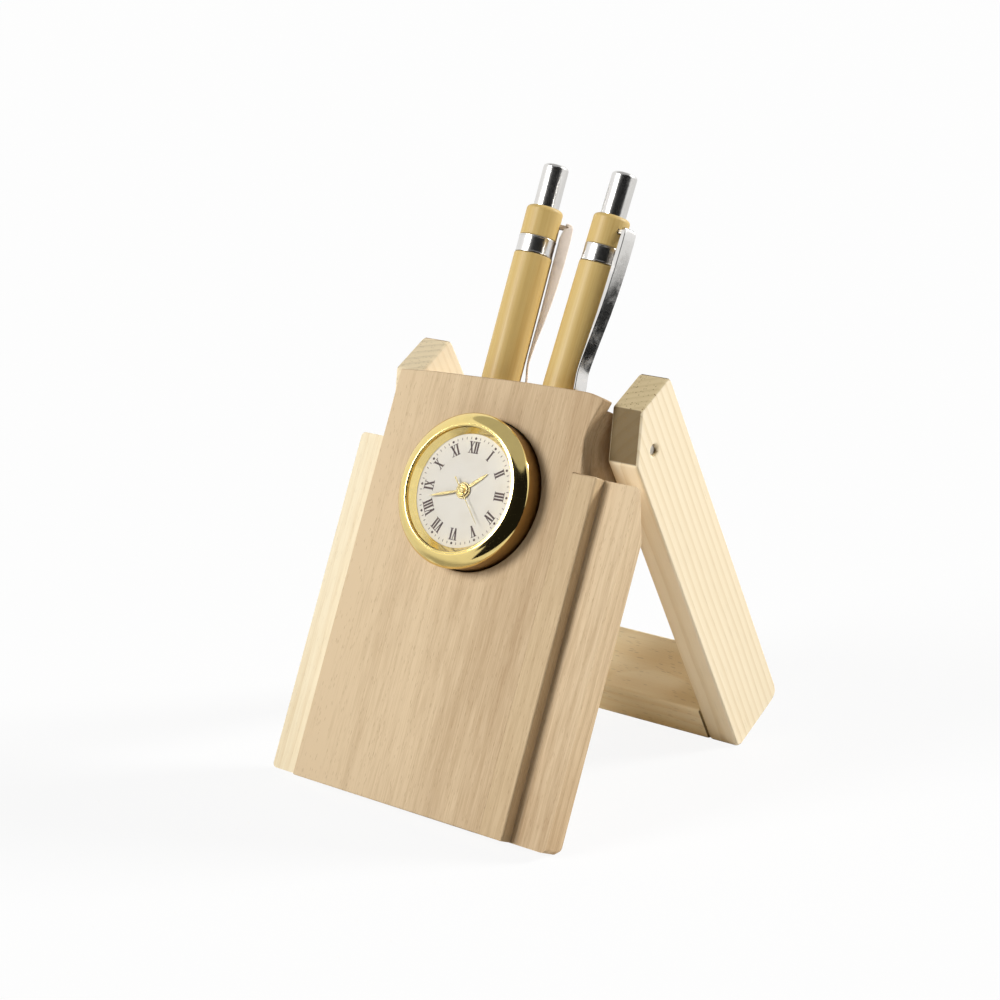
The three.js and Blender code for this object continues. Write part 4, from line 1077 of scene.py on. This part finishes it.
class PENCLOCK_OT_make_hands(bpy.types.Operator):
    """Make the hour, minute and second hands"""

    bl_idname = "penclock.make_hands"
    bl_label = "Make Hands"

    def execute(self, context):
        settings = context.scene.penclock_hands
        gilt = metal_material("hand_gilt", settings.gilt, 0.75, smudge=0.08, lines=0.3)
        self.make_hand("hour", gilt, SHOWN_HOURS / 12, settings.hour_length / MM, 0)
        self.make_hand("minute", gilt, SHOWN_MINUTES / 60, settings.minute_length / MM, 0)
        self.make_hand("second", gilt, SHOWN_SECONDS / 60, settings.second_length / MM,
                       settings.second_tail / MM)
        return {"FINISHED"}

    def make_hand(self, name, gilt, turn, length, tail):
        """A tapered blade with a ridge along it, rising from its hub."""
        foot, halves, bore, hub = HAND_SHAPES[name]
        blades = [[(hub - 0.08, halves[0]), (length * 0.45, halves[1]), (length * 0.75, halves[2]),
                   (length * 0.96, halves[3]), (length, halves[3] * 0.4)]]
        if tail:
            blades.append([(-hub + 0.08, 0.13), (-tail * 0.7, 0.16), (-tail, 0.2)])
        points, faces = [], []
        for blade in blades:
            firsts = range(len(points), len(points) + 5 * len(blade), 5)
            for y, half in blade:
                edge = foot + BLADE_EDGE
                section = ((-half, foot), (-half, edge), (0, edge + min(0.09, half * 0.4)), (half, edge),
                           (half, foot))
                points += [(x, y, z) for x, z in section]
            faces += skin(firsts, 5)
        sketch = sketch_from(f"{name}_blade", points, faces)
        rim = [(bore, foot), (hub, foot), (hub, foot + 0.1), (hub - 0.06, foot + 0.15)]
        rim += [(bore, foot + 0.15)] if bore else [(hub * 0.5, foot + 0.26), (0, foot + 0.3)]
        boss = turned(f"{name}_boss", rim, 40)
        sketch.from_mesh(boss)
        bpy.data.meshes.remove(boss)
        sketch.transform(Matrix.Rotation(DIAL_TURN - 2 * math.pi * turn, 4, "Z"))
        mesh = mesh_from_sketch(f"{name}_hand_gilt", sketch)
        add_piece(f"{name}_hand_gilt", mesh, clock_place(), gilt, f"{name}s", "gold", f"{name}_hand")


# Movement

class PENCLOCK_OT_make_movement(bpy.types.Operator):
    """Finish the parts inside the clock, and wind its coil"""

    bl_idname = "penclock.make_movement"
    bl_label = "Make Movement"

    def execute(self, context):
        settings = context.scene.penclock_movement
        housing = effect_material("housing_plastic", "moulded_surface", relief=0.01, tint=settings.housing,
                                  grain_size=0.25, dust_strength=0.06, gloss=0.42)
        plate = effect_material("plate_plastic", "moulded_surface", relief=0.006, tint=settings.plate,
                                dust=linear(206, 200, 184), grain_size=0.3, dust_strength=0.3, gloss=0.36)
        board = effect_material("board_green", "moulded_surface", relief=0.01, tint=linear(38, 92, 58),
                                dust=linear(120, 140, 96), grain_size=0.5, dust_strength=0.25, gloss=0.3)
        brass = metal_material("wheel_brass", settings.brass, 0.24, smudge=0.15, lines=0.5)
        steel = metal_material("cell_steel", settings.steel, 0.26, smudge=0.15, lines=0.6)
        dress(housing, "movement_housing", "battery_cover", "setting_knob")
        dress(plate, "dial_spacer", "main_plate", "intermediate_wheel", "minute_wheel", "left_pen_sleeve",
              "right_pen_sleeve", "left_pen_refill", "right_pen_refill")
        dress(brass, "seconds_wheel", "third_wheel", "centre_wheel", "cannon_pinion", "hour_wheel")
        dress(steel, "rotor", "stator", "battery")
        dress(board, "circuit_board")
        self.wind_coil(settings)
        return {"FINISHED"}

    def wind_coil(self, settings):
        copper = metal_material("coil_copper", settings.copper, 0.28, smudge=0.1, lines=0.2)
        place = clock_place()
        points = own_points("coil", place)
        low = [min(point[axis] for point in points) for axis in range(3)]
        high = [max(point[axis] for point in points) for axis in range(3)]
        radius = (high[2] - low[2]) / 2
        length = high[0] - low[0]
        turns = int(length / COIL_WIRE)
        profile = [(0, 0)]
        for turn in range(turns):
            for share, dip in ((0.0, 0.05), (0.3, 0.0), (0.7, 0.0)):
                profile.append((radius - dip, length * (turn + share) / turns))
        profile += [(radius - 0.05, length), (0, length)]
        middle = Vector((low[0], (low[1] + high[1]) / 2, (low[2] + high[2]) / 2))
        lengthways = place @ Matrix.Translation(middle * MM) @ Matrix.Rotation(math.radians(90), 4, "Y")
        add_turned("coil_copper", profile, 32, lengthways, copper, "clock", "copper", "coil")


# Pens

class PENCLOCK_OT_make_pens(bpy.types.Operator):
    """Make both bamboo pens with their noses, rings, buttons, clips and springs"""

    bl_idname = "penclock.make_pens"
    bl_label = "Make Pens"

    def execute(self, context):
        settings = context.scene.penclock_pens
        bright = metal_material("pen_plating", settings.bright, 0.22, lines=0.1)
        # The left clip's plating is a whiter, very rough copy of the pen plating: painted reflection of the
        # bright white the clip mirrors.
        clips = {"left": metal_material("left_clip_painted_reflection", linear(252, 246, 240), 0.9, lines=0.1),
                 "right": metal_material("right_clip_plating", settings.bright, 0.14, smudge=0.2, lines=0.6)}
        for side, shift in (("left", (0, 0, 0)), ("right", (31, 17, 60))):
            bamboo = effect_material(
                f"{side}_bamboo", "bamboo_strands", shift=shift, relief=0.006, pale=settings.pale,
                deep=settings.deep, strand_strength=0.28, Coat_Weight=0.12, Coat_Roughness=0.3,
                Specular_IOR_Level=0.3)
            self.make_pen(side, settings, bamboo, bright, clips[side])
        return {"FINISHED"}

    def make_pen(self, side, settings, bamboo, bright, plating):
        place = pen_place(side)
        pen = f"{side}_pen"

        def add(part, profile, material, slot, body=pen):
            name = f"{side}_pen_{part}"
            return add_turned(f"{name}_shown", profile, settings.sides, place, material, body, slot, name)

        add("barrel", [
            (BARREL_BORE, BARREL_FOOT), (BARREL_RADIUS - 0.15, BARREL_FOOT),
            (BARREL_RADIUS, BARREL_FOOT + 0.15), (BARREL_RADIUS, BARREL_TOP - 0.25),
            *arc(BARREL_RADIUS - 0.2, BARREL_TOP - 0.2, 0.2, 0, 90, 3), (BARREL_BORE, BARREL_TOP)],
            bamboo, "bamboo")
        edge = RING_RADIUS - 0.12
        waist = RING_RADIUS - 0.06
        add("ring", [
            (UPPER_BORE, RING_FOOT), *arc(edge, RING_FOOT + 0.12, 0.12, -90, 0, 3),
            (RING_RADIUS, RING_FOOT + 0.34), (waist, RING_FOOT + 0.42), (waist, RING_TOP - 0.42),
            (RING_RADIUS, RING_TOP - 0.34), *arc(edge, RING_TOP - 0.12, 0.12, 0, 90, 3),
            (UPPER_BORE, RING_TOP)], bright, "chrome")
        upper = add("upper", [
            (UPPER_BORE, UPPER_FOOT), (UPPER_RADIUS - 0.12, UPPER_FOOT), (UPPER_RADIUS, UPPER_FOOT + 0.12),
            (UPPER_RADIUS, UPPER_TOP - 1.05), *arc(UPPER_RADIUS - 1.0, UPPER_TOP - 1.0, 1.0, 0, 90, 10),
            (UPPER_BORE, UPPER_TOP)], bamboo, "bamboo")
        slot = mesh_from("slot_cut", bar_points(SLOT_ENDS, 1.2, TAB_HEIGHT, 0.6), skin((0, 4), 4))
        cut_out(upper, "slot_cut", slot, place)
        add("button", [
            (0, BUTTON_FOOT), (3.3, BUTTON_FOOT), (3.3, 118.0), (BUTTON_RADIUS, 118.0),
            (BUTTON_RADIUS, BUTTON_CROWN - 0.85),
            *arc(BUTTON_RADIUS - 0.85, BUTTON_CROWN - 0.85, 0.85, 0, 86, 10), (1.2, BUTTON_CROWN),
            (0, BUTTON_CROWN)], bright, "chrome", f"{side}_click")
        add("nose", NOSE, bright, "chrome")
        add_piece(f"{side}_pen_clip_shown", self.clip_mesh(side, settings), place, plating, pen, "chrome",
                  f"{side}_pen_clip")
        steel = metal_material(f"{side}_spring_steel", linear(176, 174, 170), 0.18)
        name = f"{side}_pen_spring_wire"
        wound = helix(name, SPRING_RADIUS, SPRING_WIRE, SPRING_FOOT, SPRING_TOP, SPRING_TURNS)
        spring = add_piece(name, wound, place, steel, pen, "steel", f"{side}_pen_spring")
        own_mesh(spring)

    def clip_mesh(self, side, settings):
        """A folded strip with its tab: a face with flanges, bent square at its root, flared at its tip."""
        points = []
        for index, (stand, drop, share, deep) in enumerate(CLIP_BEND):
            before = CLIP_BEND[max(index - 1, 0)]
            after = CLIP_BEND[min(index + 1, len(CLIP_BEND) - 1)]
            along = Vector((before[0] - after[0], before[1] - after[1])).normalized()
            inwards = Vector((-along.y, along.x)) if index else Vector((0, -1))
            if index:
                deep = max(deep * FLANGE_SHARES[side], LEAST_FLANGE)
            half = settings.clip_width / MM / 2 * share
            inner = half - CLIP_WALL
            flange = [(half * 0.5, -0.035), (half - 0.12, 0.0), (half, 0.12), (half, deep), (inner, deep),
                      (inner, CLIP_WALL)]
            far_side = [(-across, inside) for across, inside in flange[::-1]]
            section = [*far_side[2:], (0, -0.05), *flange, (0, CLIP_WALL - 0.05), *far_side[:2]]
            outer = Vector((-BARREL_RADIUS - stand, CLIP_TOP - drop))
            for across, inside in section:
                spot = outer + inwards * inside
                points.append((spot.x, across, spot.y))
        tab = len(points)
        faces = skin(range(0, tab, len(section)), len(section)) + skin((tab, tab + 4), 4)
        points += bar_points(TAB_ENDS, 1.05, TAB_HEIGHT, 0.45)
        name = f"{side}_pen_clip_shown"
        return mesh_from_sketch(name, sketch_from(name, points, faces))


# Stage

class PENCLOCK_OT_make_stage(bpy.types.Operator):
    """Make the floor, the lamps, the cards that the metal mirrors, and the camera"""

    bl_idname = "penclock.make_stage"
    bl_label = "Make Stage"

    def execute(self, context):
        settings = context.scene.penclock_stage
        context.scene.view_settings.view_transform = "Standard"
        self.make_floor(settings)
        self.make_room(context, settings)
        self.make_lamp("key_lamp", settings.key, *KEY_LAMP)
        self.make_lamp("side_lamp", settings.side, *SIDE_LAMP)
        for card in CARDS:
            self.make_card(*card)
        self.make_camera(context, settings)
        return {"FINISHED"}

    def make_floor(self, settings):
        """White paper that the camera sees almost without shading, but for the shadow's share."""
        floor, wiring, shader = new_material("floor_paper")
        mottle = wiring.noise(wiring.add("ShaderNodeTexCoord").outputs["Object"], 30.0, 3.0)
        paper = wiring.mix(wiring.times(mottle, 0.04), settings.floor, (0.86, 0.86, 0.85))
        wiring.feed(shader.inputs["Base Color"], paper)
        shader.inputs["Roughness"].default_value = 0.9
        shader.inputs["Specular IOR Level"].default_value = 0.1
        white = wiring.add("ShaderNodeEmission", {"Color": (1, 1, 1), "Strength": 1.0})
        seen = wiring.add("ShaderNodeLightPath").outputs["Is Camera Ray"]
        wiring.surface(wiring.blend(wiring.times(seen, 0.9), shader, white))
        reach = FLOOR_REACH
        mesh = mesh_from("floor", [(-reach, -reach, 0), (reach, -reach, 0), (reach, reach, 0),
                                   (-reach, reach, 0)], [(0, 1, 2, 3)])
        mesh.materials.append(floor)
        piece = put("floor", mesh)

    def make_room(self, context, settings):
        """A white room that lights the pieces faintly, but is seen and mirrored in full."""
        world = bpy.data.worlds.new("room")
        context.scene.world = world
        world.use_nodes = True
        wiring = Wiring(world.node_tree)
        path = wiring.add("ShaderNodeLightPath").outputs
        seen = wiring.math("MAXIMUM", path["Is Camera Ray"], path["Is Transmission Ray"])
        seen = wiring.math("MAXIMUM", seen, path["Is Glossy Ray"])
        background = world.node_tree.nodes["Background"]
        background.inputs["Color"].default_value = (1, 1, 1, 1)
        strength = wiring.ramp(seen, 0.0, 1.0, settings.around, 1.0, smooth=False)
        wiring.feed(background.inputs["Strength"], strength)

    def make_lamp(self, name, strength, azimuth, elevation, width):
        lamp = bpy.data.lights.new(name, "SUN")
        lamp.energy = strength
        lamp.angle = math.radians(width)
        turn, rise = math.radians(azimuth), math.radians(elevation)
        towards = Vector((math.sin(turn) * math.cos(rise), -math.cos(turn) * math.cos(rise), math.sin(rise)))
        piece = put(name, lamp)
        piece.rotation_mode = "QUATERNION"
        piece.rotation_quaternion = towards.to_track_quat("Z", "Y")

    def make_card(self, name, ends, rims, tone):
        """A curved card between two rims, seen only in reflections."""
        paper, wiring = new_material(f"{name}_paper")[:2]
        wiring.surface(wiring.add("ShaderNodeEmission", {"Color": (tone,) * 3, "Strength": 1.0}))
        start, end = ends
        points = []
        for step in range(CARD_STEPS + 1):
            turn = math.radians(start + (end - start) * step / CARD_STEPS)
            points += [(reach * math.sin(turn), -reach * math.cos(turn), height) for reach, height in rims]
        faces = [(2 * step, 2 * step + 2, 2 * step + 3, 2 * step + 1) for step in range(CARD_STEPS)]
        mesh = mesh_from(name, points, faces)
        mesh.materials.append(paper)
        card = put(name, mesh)
        card.visible_camera = False
        card.visible_diffuse = False
        card.visible_shadow = False
        card.visible_transmission = False

    def make_camera(self, context, settings):
        lens = bpy.data.cameras.new("camera")
        lens.lens = settings.lens
        lens.sensor_width = 36
        lens.clip_start = 0.01
        lens.clip_end = 20
        right = Vector(CAMERA_RIGHT).normalized()
        back = Vector(CAMERA_BACK).normalized()
        place = Matrix((right, back.cross(right), back)).transposed().to_4x4()
        place.translation = CAMERA_SPOT
        context.scene.camera = put("camera", lens, place)


# Sidebar

MAKERS = (
    PENCLOCK_OT_make_body,
    PENCLOCK_OT_make_frame,
    PENCLOCK_OT_make_insert,
    PENCLOCK_OT_make_dial,
    PENCLOCK_OT_make_hands,
    PENCLOCK_OT_make_movement,
    PENCLOCK_OT_make_pens,
    PENCLOCK_OT_make_stage,
)


class PENCLOCK_PT_makers(bpy.types.Panel):
    """Lists the makers of the pen holder clock"""

    bl_idname = "PENCLOCK_PT_makers"
    bl_label = "Pen Holder Clock"
    bl_space_type = "VIEW_3D"
    bl_region_type = "UI"
    bl_category = "Pen Clock"

    def draw(self, context):
        for maker in MAKERS:
            self.layout.operator(maker.bl_idname)


SETTINGS = {
    "penclock_body": BodySettings,
    "penclock_frame": FrameSettings,
    "penclock_insert": InsertSettings,
    "penclock_dial": DialSettings,
    "penclock_hands": HandSettings,
    "penclock_movement": MovementSettings,
    "penclock_pens": PenSettings,
    "penclock_stage": StageSettings,
}


def register():
    for kind in (*SETTINGS.values(), *MAKERS, PENCLOCK_PT_makers):
        bpy.utils.register_class(kind)
    for name, kind in SETTINGS.items():
        setattr(bpy.types.Scene, name, PointerProperty(type=kind))


def unregister():
    for name in SETTINGS:
        delattr(bpy.types.Scene, name)
    for kind in reversed((*SETTINGS.values(), *MAKERS, PENCLOCK_PT_makers)):
        bpy.utils.unregister_class(kind)


def main():
    register()
    bpy.ops.penclock.make_body()
    bpy.ops.penclock.make_frame()
    bpy.ops.penclock.make_insert()
    bpy.ops.penclock.make_dial()
    bpy.ops.penclock.make_hands()
    bpy.ops.penclock.make_movement()
    bpy.ops.penclock.make_pens()
    bpy.ops.penclock.make_stage()


if __name__ == "__main__":
    main()
